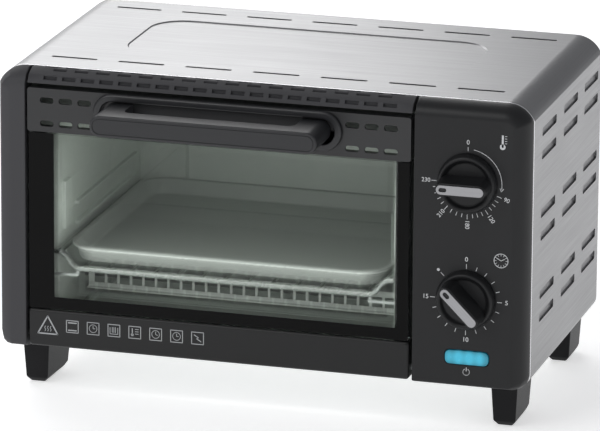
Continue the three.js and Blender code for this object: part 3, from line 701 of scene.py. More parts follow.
# A darker, greener copy of the zinc sheet for the oven's inside: painted shade with the glass's
# green painted in. It is less metallic so the lamp in the mouth lights it.
SHADED_CAVITY_ZINC = Finish(
    "cavity_zinc_painted_shade", (0.40, 0.44, 0.40), (0.50, 0.54, 0.50), 0.42, Surface.SPANGLED,
    size=160.0, bump=0.05, spread=0.14, metallic=0.35,
)
OXIDE = Finish(
    "heater_sheath", (0.035, 0.036, 0.036), (0.09, 0.085, 0.08), 0.5, Surface.GRAINED,
    size=900.0, bump=0.2, metallic=0.7,
)
PANEL_BLACK = Finish(
    "panel_black_plastic", (0.00828, 0.00864, 0.00936), (0.0108, 0.01116, 0.01224), 0.42,
    size=2600.0, bump=0.16, specular=0.34, worn=0.12,
)
DOOR_BLACK = Finish(
    "door_black_plastic", (0.0072, 0.0075, 0.0078), (0.0102, 0.0105, 0.0108), 0.36,
    size=2600.0, bump=0.1, specular=0.34, worn=0.12,
)
CHARCOAL = Finish(
    "charcoal_plastic", (0.0084, 0.0087, 0.0102), (0.0114, 0.012, 0.0138), 0.44,
    size=2400.0, bump=0.16, specular=0.26, worn=0.14,
)
BAND_GREY = Finish(
    "band_grey_plastic", (0.0192, 0.0196, 0.0208), (0.024, 0.0244, 0.0256), 0.36,
    size=2400.0, bump=0.1, specular=0.45, worn=0.1,
)
HANDLE_GREY = Finish(
    "handle_grey_plastic", (0.01728, 0.018, 0.02016), (0.02088, 0.0216, 0.02376), 0.4,
    size=2600.0, bump=0.12, specular=0.45, worn=0.1,
)
RIM_GREY = Finish(
    "rim_grey_plastic", (0.014, 0.0145, 0.016), (0.019, 0.0195, 0.022), 0.34,
    size=2400.0, bump=0.1, specular=0.5, worn=0.2,
)
FOOT_BLACK = Finish(
    "foot_black_plastic", (0.005, 0.005, 0.006), (0.008, 0.008, 0.009), 0.4,
    size=1800.0, bump=0.2, specular=0.16, worn=0.15,
)
PRINT_BLACK = Finish(
    "fired_black_print", (0.003, 0.003, 0.003), (0.005, 0.005, 0.005), 0.12,
    size=3000.0, bump=0.01, spread=0.04, specular=0.08,
)
PRINT_WHITE = Finish(
    "white_print", (0.55, 0.56, 0.57), (0.66, 0.67, 0.68), 0.6,
    size=4000.0, bump=0.05, specular=0.3,
)
PRINT_GREY = Finish(
    "grey_print", (0.34, 0.35, 0.36), (0.45, 0.46, 0.47), 0.6,
    size=4000.0, bump=0.05, specular=0.3,
)
DOOR_GLASS = GlassFinish(
    "tinted_glass", (0.52, 0.62, 0.54), (0.55, 0.65, 0.57), 0.0, Surface.GRAINED,
    size=40.0, bump=0.0, spread=0.01, alpha=0.25,
)
TRAY_ENAMEL = Finish(
    "tray_enamel", (0.099, 0.1089, 0.099), (0.1386, 0.1485, 0.1386), 0.3, Surface.GRAINED,
    size=500.0, bump=0.05, spread=0.1, metallic=0.4, coat=0.3, worn=0.6,
)
# The tray's rolled rim is real; its pale colour, far lighter than the enamel, is a painted
# highlight.
TRAY_RIM_HIGHLIGHT = Finish(
    "rolled_rim_painted_highlight", (0.50, 0.53, 0.50), (0.62, 0.65, 0.62), 0.28, Surface.GRAINED,
    size=700.0, bump=0.05, spread=0.1, metallic=0.4, coat=0.2,
)
# A paler copy of the zinc sheet for the heater guard: painted light on a part that lies in the
# shade of the tray and rack.
LIT_GUARD_ZINC = Finish(
    "guard_sheet_painted_light", (0.62, 0.66, 0.62), (0.72, 0.76, 0.72), 0.4, Surface.SPANGLED,
    size=160.0, bump=0.05, spread=0.14, metallic=0.2,
)
CHROME = Finish(
    "plated_wire", (0.40, 0.42, 0.40), (0.52, 0.54, 0.52), 0.26, Surface.GRAINED,
    size=1200.0, bump=0.03, spread=0.08, metallic=1.0,
)
CERAMIC = Finish(
    "white_ceramic", (0.66, 0.63, 0.56), (0.76, 0.74, 0.68), 0.7, Surface.GRAINED,
    size=1400.0, bump=0.25,
)
WHITE_PLASTIC = Finish(
    "white_plastic", (0.66, 0.66, 0.63), (0.74, 0.74, 0.71), 0.42, Surface.GRAINED,
    size=2000.0, bump=0.08,
)
BRASS = Finish(
    "bell_brass", (0.60, 0.43, 0.17), (0.70, 0.53, 0.25), 0.3, Surface.BRUSHED,
    size=0.6, bump=0.06, metallic=1.0,
)
SLEEVE = Finish(
    "woven_sleeve", (0.52, 0.48, 0.38), (0.66, 0.62, 0.52), 0.8, Surface.GRAINED,
    size=2200.0, bump=0.6,
)


def pointer_steel(turn: float) -> Finish:
    """Return the bright brushed finish of a pointer insert turned by `turn` radians."""
    return Finish(
        f"pointer_steel_{round(math.degrees(turn)) % 360}", (0.30, 0.30, 0.31),
        (0.38, 0.38, 0.39), 0.34, Surface.BRUSHED, size=1.4, bump=0.12, spread=0.16,
        metallic=1.0, turn=turn,
    )


# ---- Sub-assemblies -----------------------------------------------------------------------
@dataclass
class Assembly:
    """What every sub-assembly shares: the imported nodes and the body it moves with."""

    nodes: dict[str, bpy.types.Object]
    body: str = "body"

    def traced(self, node: str, name: str) -> bpy.types.Object:
        """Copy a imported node's mesh as a start, merged and with whole flat faces.

        Args:
            node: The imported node.
            name: The name of the copy.

        Returns:
            The copy.
        """
        source = self.nodes[node]
        piece = source.copy()
        piece.data = source.data.copy()
        piece.name = name
        piece.parent = None
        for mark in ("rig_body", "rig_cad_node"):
            if mark in piece:
                del piece[mark]
        bpy.context.scene.collection.objects.link(piece)
        Bench.alone(piece)
        bpy.ops.mesh.customdata_custom_splitnormals_clear()
        with Bench.editing(piece, Pick.POINTS, lambda co: True):
            bpy.ops.mesh.remove_doubles(threshold=1e-6)
            bpy.ops.mesh.dissolve_limited(angle_limit=math.radians(0.4))
        return piece

    def finish(
        self, piece: bpy.types.Object, finish: Finish, slot: str, *replaced: str
    ) -> bpy.types.Object:
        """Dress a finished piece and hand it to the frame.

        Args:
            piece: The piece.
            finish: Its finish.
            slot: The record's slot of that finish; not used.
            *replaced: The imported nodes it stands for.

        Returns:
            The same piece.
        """
        piece.data.materials.clear()
        piece.data.materials.append(finish.material())
        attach(piece, self.body)
        if replaced:
            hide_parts(*replaced)
        LOG.info("%s: %d faces, rides on %s", piece.name, len(piece.data.polygons), self.body)
        return piece

    def dress(self, finish: Finish, *nodes: str) -> None:
        """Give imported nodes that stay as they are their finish.

        Args:
            finish: The finish.
            *nodes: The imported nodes.
        """
        for node in nodes:
            piece = self.nodes[node]
            piece.data.materials.clear()
            piece.data.materials.append(finish.material())
            LOG.info("%s: packed shape, %s", node, finish.name)

    def refined(
        self, node: str, name: str, finish: Finish, slot: str, width: float = 0.25,
        steps: int = 2,
    ) -> bpy.types.Object:
        """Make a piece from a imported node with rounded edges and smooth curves.

        Args:
            node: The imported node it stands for.
            name: The piece's name.
            finish: Its finish.
            slot: The record's slot.
            width: The rounding of its edges, in mm.
            steps: The segments of the rounding.

        Returns:
            The piece.
        """
        piece = Bench.soften(self.traced(node, name), width * MM, steps)
        return self.finish(piece, finish, slot, node)


@dataclass
class SteelCover(Assembly):
    """The folded steel cover with its pressed roof, slots and louvres."""

    lip: float = 0.9 * MM
    sheet: float = 0.9 * MM
    flange: float = 22.0
    foot_radius: float = 9.0
    roof_radius: float = 19.0
    roof_inset: float = 17.5
    press_depth: float = 0.7 * MM
    press_low: tuple[float, float] = (-117.25 * MM, -19 * MM)
    press_high: tuple[float, float] = (117.75 * MM, 75 * MM)
    press_corner: float = 24 * MM
    press_slope: float = 0.7 * MM
    slot_depths: tuple[float, ...] = (41, 182.5)
    slot_count: int = 7
    slot_pitch: float = 46.4
    slot_size: tuple[float, float] = (32 * MM, 3.2 * MM)
    louvre_length: float = 38.5 * MM
    louvre_height: float = 5.9 * MM
    louvre_depths: tuple[float, ...] = (57.5, 117, 175)
    louvre_heights: tuple[float, ...] = (190.8, 135.6, 80.3)
    louvre_pair: float = 7.8 * MM

    def build(self) -> None:
        """Make the cover, a bright band on its front edge that is a painted highlight, and its
        louvre cups.
        """
        low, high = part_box("outer_wrapper")
        cover = self._shell(low, high)
        Bench.combine(cover, self._roof_press(high.z), "DIFFERENCE")
        Bench.combine(cover, self._openings(high), "DIFFERENCE")
        edge_plane = low.y + self.lip
        # The thin band in front of this plane becomes its own piece, coloured bright as a painted
        # highlight.
        lip = Bench.twin(cover, Matrix.Identity(4))
        lip.name = "cover_front_edge"
        self._slice(cover, edge_plane, keep_back=True)
        self._slice(lip, edge_plane, keep_back=False)
        self.finish(
            Bench.soften(cover, 0, smooth=24), BRUSHED_STEEL, "brushed_steel", "outer_wrapper"
        )
        self.finish(Bench.soften(lip, 0.25 * MM, 2, 60), BRIGHT_STEEL_AND_EDGE_HIGHLIGHT, "brushed_steel")
        self._louvres(high.x)

    def _half_section(self, low: Vector, high: Vector) -> list[tuple[float, float]]:
        """Give the right half of the cover's outline, from the flange up to the roof.

        Args:
            low: The cover's lowest corner.
            high: The cover's highest corner.

        Returns:
            Points as X and Z, in mm.
        """
        width, base, roof = high.x / MM, low.z / MM, high.z / MM
        points = [(width - self.flange, base)]
        foot = (width - self.foot_radius, base + self.foot_radius)
        for step in range(9):
            angle = math.radians(-90 + 90 * step / 8)
            points.append((foot[0] + self.foot_radius * math.cos(angle),
                           foot[1] + self.foot_radius * math.sin(angle)))
        crown = (width - self.roof_inset, roof - self.roof_radius)
        crease = math.degrees(math.acos(self.roof_inset / self.roof_radius))
        for step in range(15):
            angle = math.radians(crease + (90 - crease) * step / 14)
            points.append((crown[0] + self.roof_radius * math.cos(angle),
                           crown[1] + self.roof_radius * math.sin(angle)))
        return points

    def _shell(self, low: Vector, high: Vector) -> bpy.types.Object:
        """Fold the sheet round the oven.

        Args:
            low: The cover's lowest corner.
            high: The cover's highest corner.

        Returns:
            The folded sheet, without openings.
        """
        half = self._half_section(low, high)
        line = half + [(-x, z) for x, z in reversed(half)]
        shell = Bench.path("steel_cover", [(x * MM, low.y, z * MM) for x, z in line])
        with Bench.editing(shell, Pick.EDGES, lambda a, b: True):
            bpy.ops.mesh.extrude_region_move(
                TRANSFORM_OT_translate={"value": (0, high.y - low.y, 0)}
            )
            bpy.ops.mesh.select_all(action="SELECT")
            bpy.ops.mesh.normals_make_consistent(inside=False)
        roof = max(shell.data.polygons, key=lambda face: face.center.z)
        if roof.normal.z < 0:
            with Bench.editing(shell, Pick.FACES, lambda centre, normal: True):
                bpy.ops.mesh.flip_normals()
        Bench.alone(shell)
        wall = shell.modifiers.new("sheet", "SOLIDIFY")
        wall.thickness, wall.offset, wall.use_even_offset = self.sheet, -1.0, True
        bpy.ops.object.modifier_apply(modifier=wall.name)
        return shell

    def _openings(self, high: Vector) -> bpy.types.Object:
        """Make the tool that cuts the roof slots and the side openings.

        Args:
            high: The cover's highest corner.

        Returns:
            The cutting tool.
        """
        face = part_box("control_panel")[0].y
        tools = []
        for depth in self.slot_depths:
            for index in range(self.slot_count):
                x = (index - (self.slot_count - 1) / 2) * self.slot_pitch * MM
                tool = Bench.plate(
                    "slot", (0, 0, 0), self.slot_size, self.slot_size[1] / 2 - 0.02 * MM,
                    8 * MM, 5,
                )
                tool.data.transform(
                    Matrix.Translation((x, face + depth * MM, high.z + 4 * MM))
                    @ Matrix.Rotation(-math.pi / 2, 4, "X")
                )
                tools.append(tool)
        for depth in self.louvre_depths:
            for height in self.louvre_heights:
                for shift in (-self.louvre_pair, self.louvre_pair):
                    tool = Bench.plate(
                        "opening", (0, 0, 0), (self.louvre_length, self.louvre_height),
                        1.6 * MM, 2.4 * high.x, 4,
                    )
                    tool.data.transform(
                        Matrix.Translation((1.2 * high.x, face + depth * MM, height * MM + shift))
                        @ Matrix.Rotation(math.pi / 2, 4, "Z")
                    )
                    tools.append(tool)
        return Bench.gather("openings", tools)

    def _slice(self, piece: bpy.types.Object, plane: float, keep_back: bool) -> None:
        """Keep one side of an upright plane across the oven.

        Args:
            piece: The object to cut.
            plane: The plane's Y.
            keep_back: Whether the part behind the plane stays.
        """
        with Bench.editing(piece, Pick.FACES, lambda centre, normal: True):
            bpy.ops.mesh.bisect(
                plane_co=(0, plane, 0), plane_no=(0, 1, 0), use_fill=True,
                clear_inner=keep_back, clear_outer=not keep_back,
            )

    def _roof_press(self, roof: float) -> bpy.types.Object:
        """Make the solid that presses the shallow field into the roof.

        Args:
            roof: The height of the roof.

        Returns:
            The pressing tool.
        """
        tool = Bench.block(
            "roof_press", (*self.press_low, roof - self.press_depth),
            (*self.press_high, roof + 2 * MM),
        )
        with Bench.editing(
            tool, Pick.EDGES, lambda a, b: abs(a.z - b.z) > MM
        ):
            bpy.ops.mesh.bevel(offset=self.press_corner, segments=10, clamp_overlap=False)
        width = self.press_high[0] - self.press_low[0]
        length = self.press_high[1] - self.press_low[1]
        middle = [(a + b) / 2 for a, b in zip(self.press_low, self.press_high)]
        with Bench.editing(tool, Pick.FACES, lambda centre, normal: normal.z < -0.9):
            bpy.ops.transform.resize(
                value=(1 - 2 * self.press_slope / width, 1 - 2 * self.press_slope / length, 1),
                center_override=(*middle, roof - self.press_depth),
            )
        with Bench.editing(tool, Pick.FACES, lambda centre, normal: normal.z > 0.9):
            grow = 2 * self.press_slope * 2 * MM / self.press_depth
            bpy.ops.transform.resize(
                value=(1 + grow / width, 1 + grow / length, 1),
                center_override=(*middle, roof + 2 * MM),
            )
        return tool

    def _cup(self) -> bpy.types.Object:
        """Make one louvre cup at the origin, open towards +X and deeper at its top.

        Returns:
            The cup, a thin pressed shell.
        """
        half = self.louvre_length / 2 + 0.5 * MM
        rise = self.louvre_height / 2 + 0.45 * MM
        cup = Bench.block("louvre_cup", (-1.9 * MM, -half, -rise), (0, half, rise))
        with Bench.editing(cup, Pick.FACES, lambda centre, normal: normal.x > 0.9):
            bpy.ops.mesh.delete(type="ONLY_FACE")
        with Bench.editing(cup, Pick.EDGES, lambda a, b: max(a.x, b.x) < -MM and max(a.z, b.z) < 0):
            bpy.ops.transform.translate(value=(1.4 * MM, 0, 0))
        with Bench.editing(cup, Pick.EDGES, lambda a, b: abs(a.x - b.x) > 0.5 * MM):
            bpy.ops.mesh.bevel(offset=1.4 * MM, segments=3, clamp_overlap=True)
        with Bench.editing(cup, Pick.FACES, lambda centre, normal: abs(normal.x) > 0.6):
            bpy.ops.mesh.bevel(offset=0.5 * MM, segments=2, clamp_overlap=True)
        Bench.alone(cup)
        wall = cup.modifiers.new("wall", "SOLIDIFY")
        wall.thickness, wall.offset = 0.4 * MM, 1.0
        bpy.ops.object.modifier_apply(modifier=wall.name)
        return cup

    def _louvres(self, side: float) -> None:
        """Set a cup behind every louvre opening on both sides.

        Args:
            side: The X of the cover's right side.
        """
        cup = self._cup()
        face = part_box("control_panel")[0].y
        cups = []
        for turn in (0.0, math.pi):
            for depth in self.louvre_depths:
                for height in self.louvre_heights:
                    for shift in (-self.louvre_pair, self.louvre_pair):
                        reach = side - self.sheet - 0.05 * MM
                        place = Matrix.Translation(
                            (math.cos(turn) * reach, face + depth * MM, height * MM + shift)
                        ) @ Matrix.Rotation(turn, 4, "Z")
                        cups.append(Bench.twin(cup, place))
        bpy.data.objects.remove(cup)
        joined = Bench.gather("louvre_cups", cups)
        # The cups take the shaded steel copy, painted shade.
        self.finish(Bench.soften(joined, 0), SHADED_STEEL, "brushed_steel")


@dataclass
class Mouldings(Assembly):
    """The plastic front: pillar, vent hood and control panel."""

    def build(self) -> None:
        """Make the three mouldings."""
        self.refined("left_pillar", "front_pillar", CHARCOAL, "charcoal_plastic", 0.6, 3)
        self.refined("vent_hood", "slotted_hood", CHARCOAL, "charcoal_plastic", 0.3, 2)
        self.refined("control_panel", "dial_panel", PANEL_BLACK, "satin_black_plastic", 0.6, 3)


@dataclass
class Print:
    """A run of printing on an upright face, drawn as thin raised strokes."""

    face: float
    raised: float = 0.06 * MM
    sunk: float = 0.06 * MM

    def __post_init__(self) -> None:
        """Start with nothing drawn."""
        self.parts: list[bpy.types.Object] = []

    def stroke(self, start: tuple[float, float], stop: tuple[float, float], width: float) -> None:
        """Draw a straight stroke.

        Args:
            start: Its first end, X and Z in mm.
            stop: Its other end.
            width: Its width in mm.
        """
        run, rise = stop[0] - start[0], stop[1] - start[1]
        length = math.hypot(run, rise)
        middle = ((start[0] + stop[0]) / 2 * MM, self.face + (self.sunk - self.raised) / 2,
                  (start[1] + stop[1]) / 2 * MM)
        bpy.ops.mesh.primitive_cube_add(
            size=1, location=middle, rotation=(0, -math.atan2(rise, run), 0)
        )
        piece = bpy.context.object
        piece.scale = ((length + width * 0.6) * MM, self.raised + self.sunk, width * MM)
        self.parts.append(piece)

    def chain(self, points: Sequence[tuple[float, float]], width: float) -> None:
        """Draw strokes from point to point, in mm."""
        for start, stop in zip(points, points[1:]):
            self.stroke(start, stop, width)

    def curve(
        self, middle: tuple[float, float], radius: float, angles: tuple[float, float],
        width: float, step: float = 12,
    ) -> None:
        """Draw part of a circle.

        Args:
            middle: Its centre, X and Z in mm.
            radius: Its radius in mm.
            angles: Its first and last angle, in degrees clockwise from the top.
            width: The line's width in mm.
            step: The angle of one stroke, in degrees.
        """
        count = max(2, round(abs(angles[1] - angles[0]) / step))
        turns = [angles[0] + (angles[1] - angles[0]) * i / count for i in range(count + 1)]
        self.chain([around(middle, radius, turn) for turn in turns], width)

    def dot(self, middle: tuple[float, float], radius: float) -> None:
        """Draw a filled round dot, in mm."""
        bpy.ops.mesh.primitive_cylinder_add(
            vertices=20, radius=radius * MM, depth=self.raised + self.sunk,
            location=(middle[0] * MM, self.face + (self.sunk - self.raised) / 2, middle[1] * MM),
            rotation=(math.pi / 2, 0, 0),
        )
        self.parts.append(bpy.context.object)

    def number(self, text: str, middle: tuple[float, float], height: float, turn: float) -> None:
        """Print a number.

        Args:
            text: The number.
            middle: The centre of the print, X and Z in mm.
            height: The size of the digits in mm.
            turn: How far it leans anticlockwise, in degrees.
        """
        bpy.ops.object.text_add(
            location=(middle[0] * MM, self.face, middle[1] * MM),
            rotation=(math.pi / 2, -math.radians(turn), 0),
        )
        piece = bpy.context.object
        piece.data.body = text
        piece.data.size = height * 1.38 * MM
        piece.data.align_x, piece.data.align_y = "CENTER", "CENTER"
        piece.data.extrude = self.raised
        piece.data.offset = 0.03 * MM
        bpy.ops.object.select_all(action="DESELECT")
        piece.select_set(True)
        bpy.ops.object.convert(target="MESH")
        self.parts.append(Bench.close(bpy.context.object, 1e-7))

    def box(self, middle: tuple[float, float], size: tuple[float, float], width: float) -> None:
        """Draw an outline box, in mm.

        Args:
            middle: Its centre, X and Z.
            size: Its width and height.
            width: The line's width.
        """
        half = (size[0] / 2, size[1] / 2)
        corners = [(-1, -1), (1, -1), (1, 1), (-1, 1), (-1, -1)]
        self.chain([(middle[0] + a * half[0], middle[1] + b * half[1]) for a, b in corners], width)

    def gathered(self, name: str) -> bpy.types.Object:
        """Join everything drawn into one object of that name and return it."""
        return Bench.gather(name, self.parts)


def around(middle: tuple[float, float], radius: float, turn: float) -> tuple[float, float]:
    """Give the point at a clockwise angle round a centre.

    Args:
        middle: The centre, X and Z.
        radius: The distance from it.
        turn: The angle in degrees, clockwise from the top.

    Returns:
        The point, X and Z.
    """
    angle = math.radians(turn)
    return middle[0] + radius * math.sin(angle), middle[1] + radius * math.cos(angle)


@dataclass
class Markings(Assembly):
    """What is printed on the control panel: the two scales, two small signs and a lamp sign."""

    x: float = 141.35
    thermostat: float = 171.3
    timer: float = 92.6
    heat_marks: tuple[tuple[float, str], ...] = (
        (110, "90"), (119, ""), (127.5, ""), (136, ""), (145, "120"), (153.6, ""),
        (162.3, ""), (170.7, ""), (180, "180"), (189.5, ""), (199, ""), (209, ""),
        (219, "210"), (229, ""), (238.5, ""), (249, ""), (259.8, ""), (270, "230"),
    )

    def build(self) -> None:
        """Draw all the markings as one piece."""
        sheet = Print(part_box("control_panel")[0].y)
        self._heat_scale(sheet)
        self._time_scale(sheet)
        self._thermometer(sheet, (164.3, 197.3))
        self._clock(sheet, (164.4, 120.9))
        self._power_sign(sheet, (142.2, 43.4))
        self.finish(sheet.gathered("panel_markings"), PRINT_WHITE, "white_plastic")

    def _heat_scale(self, sheet: Print) -> None:
        """Draw the thermostat's scale.

        Args:
            sheet: Where it is drawn.
        """
        middle = (self.x, self.thermostat)
        sheet.number("0", around(middle, 27.2, 0), 3.1, 0)
        sheet.stroke(around(middle, 21.6, 0), around(middle, 24.0, 0), 0.42)
        sheet.curve(middle, 22.9, (10, 96), 0.42, 6)
        tip = around(middle, 22.9, 100)
        sheet.chain([around(middle, 21.8, 95), tip, around(middle, 24.1, 95)], 0.42)
        for turn, label in self.heat_marks:
            reach = 24.2 if label else 23.4
            sheet.stroke(around(middle, 21.0, turn), around(middle, reach, turn), 0.42)
            if label:
                lean = 90 - turn if turn <= 180 else 270 - turn
                sheet.number(label, around(middle, 27.9, turn), 2.9, lean)

    def _time_scale(self, sheet: Print) -> None:
        """Draw the timer's scale.

        Args:
            sheet: Where it is drawn.
        """
        middle = (self.x, self.timer)
        labels = {0: "0", 90: "5", 180: "10", 270: "15"}
        for turn in range(0, 271, 18):
            reach = 24.0 if turn in labels else 23.4
            sheet.stroke(around(middle, 21.0, turn), around(middle, reach, turn), 0.42)
        for turn, label in labels.items():
            sheet.number(label, around(middle, 27.2, turn), 3.1, 0)
        sheet.stroke(around(middle, 21.0, 315), around(middle, 24.0, 315), 0.42)
        sheet.dot(around(middle, 26.6, 315), 1.0)

    @staticmethod
    def _thermometer(sheet: Print, middle: tuple[float, float]) -> None:
        """Draw a small thermometer.

        Args:
            sheet: Where it is drawn.
            middle: The centre of its bulb, in mm.
        """
        sheet.dot(middle, 1.9)
        sheet.stroke(middle, (middle[0], middle[1] + 7.4), 1.3)
        for rise in (2.4, 4.0, 5.6, 7.2):
            sheet.stroke(
                (middle[0] + 1.6, middle[1] + rise), (middle[0] + 2.8, middle[1] + rise), 0.36
            )

    @staticmethod
    def _clock(sheet: Print, middle: tuple[float, float]) -> None:
        """Draw a small clock face.

        Args:
            sheet: Where it is drawn.
            middle: Its centre, in mm.
        """
        sheet.curve(middle, 4.7, (0, 360), 0.5, 18)
        for turn in range(0, 360, 30):
            sheet.stroke(around(middle, 3.2, turn), around(middle, 4.3, turn), 0.32)
        sheet.stroke(middle, around(middle, 2.6, 62), 0.45)
        sheet.stroke(middle, around(middle, 3.0, 300), 0.45)

    @staticmethod
    def _power_sign(sheet: Print, middle: tuple[float, float]) -> None:
        """Draw the plain on and off sign.

        Args:
            sheet: Where it is drawn.
            middle: Its centre, in mm.
        """
        sheet.curve(middle, 2.2, (32, 328), 0.5, 18)
        sheet.stroke((middle[0], middle[1] + 0.6), (middle[0], middle[1] + 3.0), 0.5)


@dataclass
class Door(Assembly):
    """The door: band, glass with its printed border, lower panel, stiles, handle and hooks."""

    body: str = "door"
    window_low: tuple[float, float] = (-140.65 * MM, 68.9 * MM)
    window_high: tuple[float, float] = (94.55 * MM, 181.3 * MM)
    handle_height: float = 198.4 * MM
    handle_thick: float = 13 * MM
    post_length: float = 19 * MM
    nose: float = 1.2 * MM
    groove_inset: float = 0.7 * MM
    groove: float = 0.42 * MM
    slot_places: tuple[float, ...] = (117.4 * MM, 104.4 * MM, 91.4 * MM)
    slot_heights: tuple[float, ...] = (187.8 * MM, 203.6 * MM)

    def build(self) -> None:
        """Make the door's pieces."""
        self._band()
        self.refined("door_lower_panel", "icon_panel", DOOR_BLACK, "satin_black_plastic", 0.5, 3)
        for side in ("left", "right"):
            self.refined(
                f"door_stile_{side}", f"glass_stile_{side}", DOOR_BLACK, "charcoal_plastic", 0.4
            )
            self.refined(f"rack_hook_{side}", f"draw_arm_{side}", ZINC, "zinc_sheet", 0.2)
            self.refined(f"hinge_pin_{side}", f"door_pin_{side}", ZINC, "zinc_sheet", 0.3)
        self.dress(DOOR_GLASS, "door_glass")
        self._border()
        self._handle()
        self.refined(
            "handle_escutcheon", "handle_surround", RIM_GREY, "charcoal_plastic", 0.9, 3
        )
        self._icons()

    def _band(self) -> None:
        """Make the band behind the handle, with its rounded slots and finger scoop."""
        low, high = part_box("door_top_band")
        middle, height = (low.x + high.x) / 2, (low.z + high.z) / 2
        size = (high.x - low.x, high.z - low.z)
        band = Bench.plate(
            "handle_band", (middle, low.y, height), size, 1.6 * MM, high.y - low.y, 4
        )
        hollow = Bench.plate(
            "hollow", (middle, low.y + 2 * MM, height), (size[0] - 6 * MM, size[1] - 4 * MM),
            1 * MM, 20 * MM, 3,
        )
        Bench.combine(band, hollow, "DIFFERENCE")
        scoop = Bench.plate(
            "scoop", (middle, low.y - 5 * MM, self.handle_height), (158 * MM, 18 * MM),
            8.9 * MM, 6 * MM, 10,
        )
        Bench.combine(band, scoop, "DIFFERENCE")
        slots = []
        for side in (-1, 1):
            for place in self.slot_places:
                for rise in self.slot_heights:
                    slots.append(Bench.plate(
                        "slot", (middle + side * place, low.y - 5 * MM, rise),
                        (9.2 * MM, 3.8 * MM), 1.75 * MM, 14 * MM, 5,
                    ))
        Bench.combine(band, Bench.gather("slots", slots), "DIFFERENCE")
        self.finish(
            Bench.soften(band, 0.25 * MM, 2, 50), BAND_GREY, "charcoal_plastic",
            "door_top_band",
        )

    def _border(self) -> None:
        """Make the black border that is fired on the glass."""
        low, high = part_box("door_glass")
        inset = 0.55 * MM
        back = low.y - 0.02 * MM
        middle = Vector(((low.x + high.x) / 2, back, (low.z + high.z) / 2))
        width, height = high.x - low.x - 2 * inset, high.z - low.z - 2 * inset
        bpy.ops.object.select_all(action="DESELECT")
        bpy.ops.mesh.primitive_plane_add(
            size=1, location=middle, rotation=(math.pi / 2, 0, 0)
        )
        border = bpy.context.object
        border.name = "glass_border"
        border.scale = (width, height, 1)
        Bench.settle(border)
        thin = 0.2 * MM
        window = Vector((
            (self.window_low[0] + self.window_high[0]) / 2, back,
            (self.window_low[1] + self.window_high[1]) / 2,
        ))
        wide = self.window_high[0] - self.window_low[0]
        tall = self.window_high[1] - self.window_low[1]
        with Bench.editing(border, Pick.FACES, lambda centre, normal: True):
            bpy.ops.mesh.inset(thickness=thin, depth=0)
            bpy.ops.transform.resize(
                value=(wide / (width - 2 * thin), 1, tall / (height - 2 * thin)),
                center_override=middle,
            )
            bpy.ops.transform.translate(value=window - middle)
            bpy.ops.mesh.delete(type="ONLY_FACE")
        Bench.alone(border)
        wall = border.modifiers.new("wall", "SOLIDIFY")
        wall.thickness, wall.offset = 0.06 * MM, 1.0
        bpy.ops.object.modifier_apply(modifier=wall.name)
        self.finish(border, PRINT_BLACK, "satin_black_plastic")

    def _handle(self) -> None:
        """Make the handle: a bar with a groove round its face and a post at each end."""
        low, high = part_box("door_handle")
        middle, height = (low.x + high.x) / 2, (low.z + high.z) / 2
        size = (high.x - low.x, high.z - low.z)
        bar = Bench.plate(
            "bar_handle", (middle, low.y + self.nose, height), size,
            size[1] / 2 - 0.3 * MM, high.y - low.y - self.nose, 12,
        )
        between = size[0] / 2 - self.post_length
        room = Bench.block(
            "room", (middle - between, low.y + self.handle_thick, low.z - 20 * MM),
            (middle + between, high.y + 20 * MM, high.z + 20 * MM),
        )
        with Bench.editing(room, Pick.EDGES, lambda a, b: abs(a.z - b.z) > 5 * MM):
            bpy.ops.mesh.bevel(offset=5 * MM, segments=6, clamp_overlap=False)
        with Bench.editing(bar, Pick.FACES, lambda centre, normal: normal.y < -0.99):
            before = (0.0, 1.0)
            for step in range(1, 5):
                angle = math.radians(22.5 * step)
                after = (1 - math.cos(angle), 1 - math.sin(angle))
                bpy.ops.mesh.inset(
                    thickness=(after[0] - before[0]) * self.nose,
                    depth=(before[1] - after[1]) * self.nose,
                )
                before = after
            bpy.ops.mesh.inset(thickness=self.groove_inset, depth=0)
            bpy.ops.mesh.inset(thickness=0.08 * MM, depth=-self.groove)
            bpy.ops.mesh.inset(thickness=self.groove, depth=0)
            bpy.ops.mesh.inset(thickness=0.08 * MM, depth=self.groove)
        Bench.combine(bar, room, "DIFFERENCE")
        self.finish(Bench.soften(bar, 0), HANDLE_GREY, "charcoal_plastic", "door_handle")

    def _icons(self) -> None:
        """Draw the row of plain signs on the lower panel."""
        sheet = Print(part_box("door_lower_panel")[0].y)
        left, right, low, high = -152.2, -138.4, 43.2, 55.4
        sheet.chain(
            [(left, low), (right, low), ((left + right) / 2, high), (left, low)], 0.9
        )
        for shift in (-1.9, 0, 1.9):
            x = (left + right) / 2 + shift
            sheet.chain([(x, 45), (x + 0.5, 46.1), (x - 0.3, 47.3), (x + 0.3, 48.5)], 0.45)
        for index in range(7):
            middle = (-128.1 + 14.5 * index, 49.5)
            sheet.box(middle, (8.2, 8.2), 0.55)
            self._sign(sheet, index, middle)
        self.finish(sheet.gathered("door_icons"), PRINT_GREY, "white_plastic")

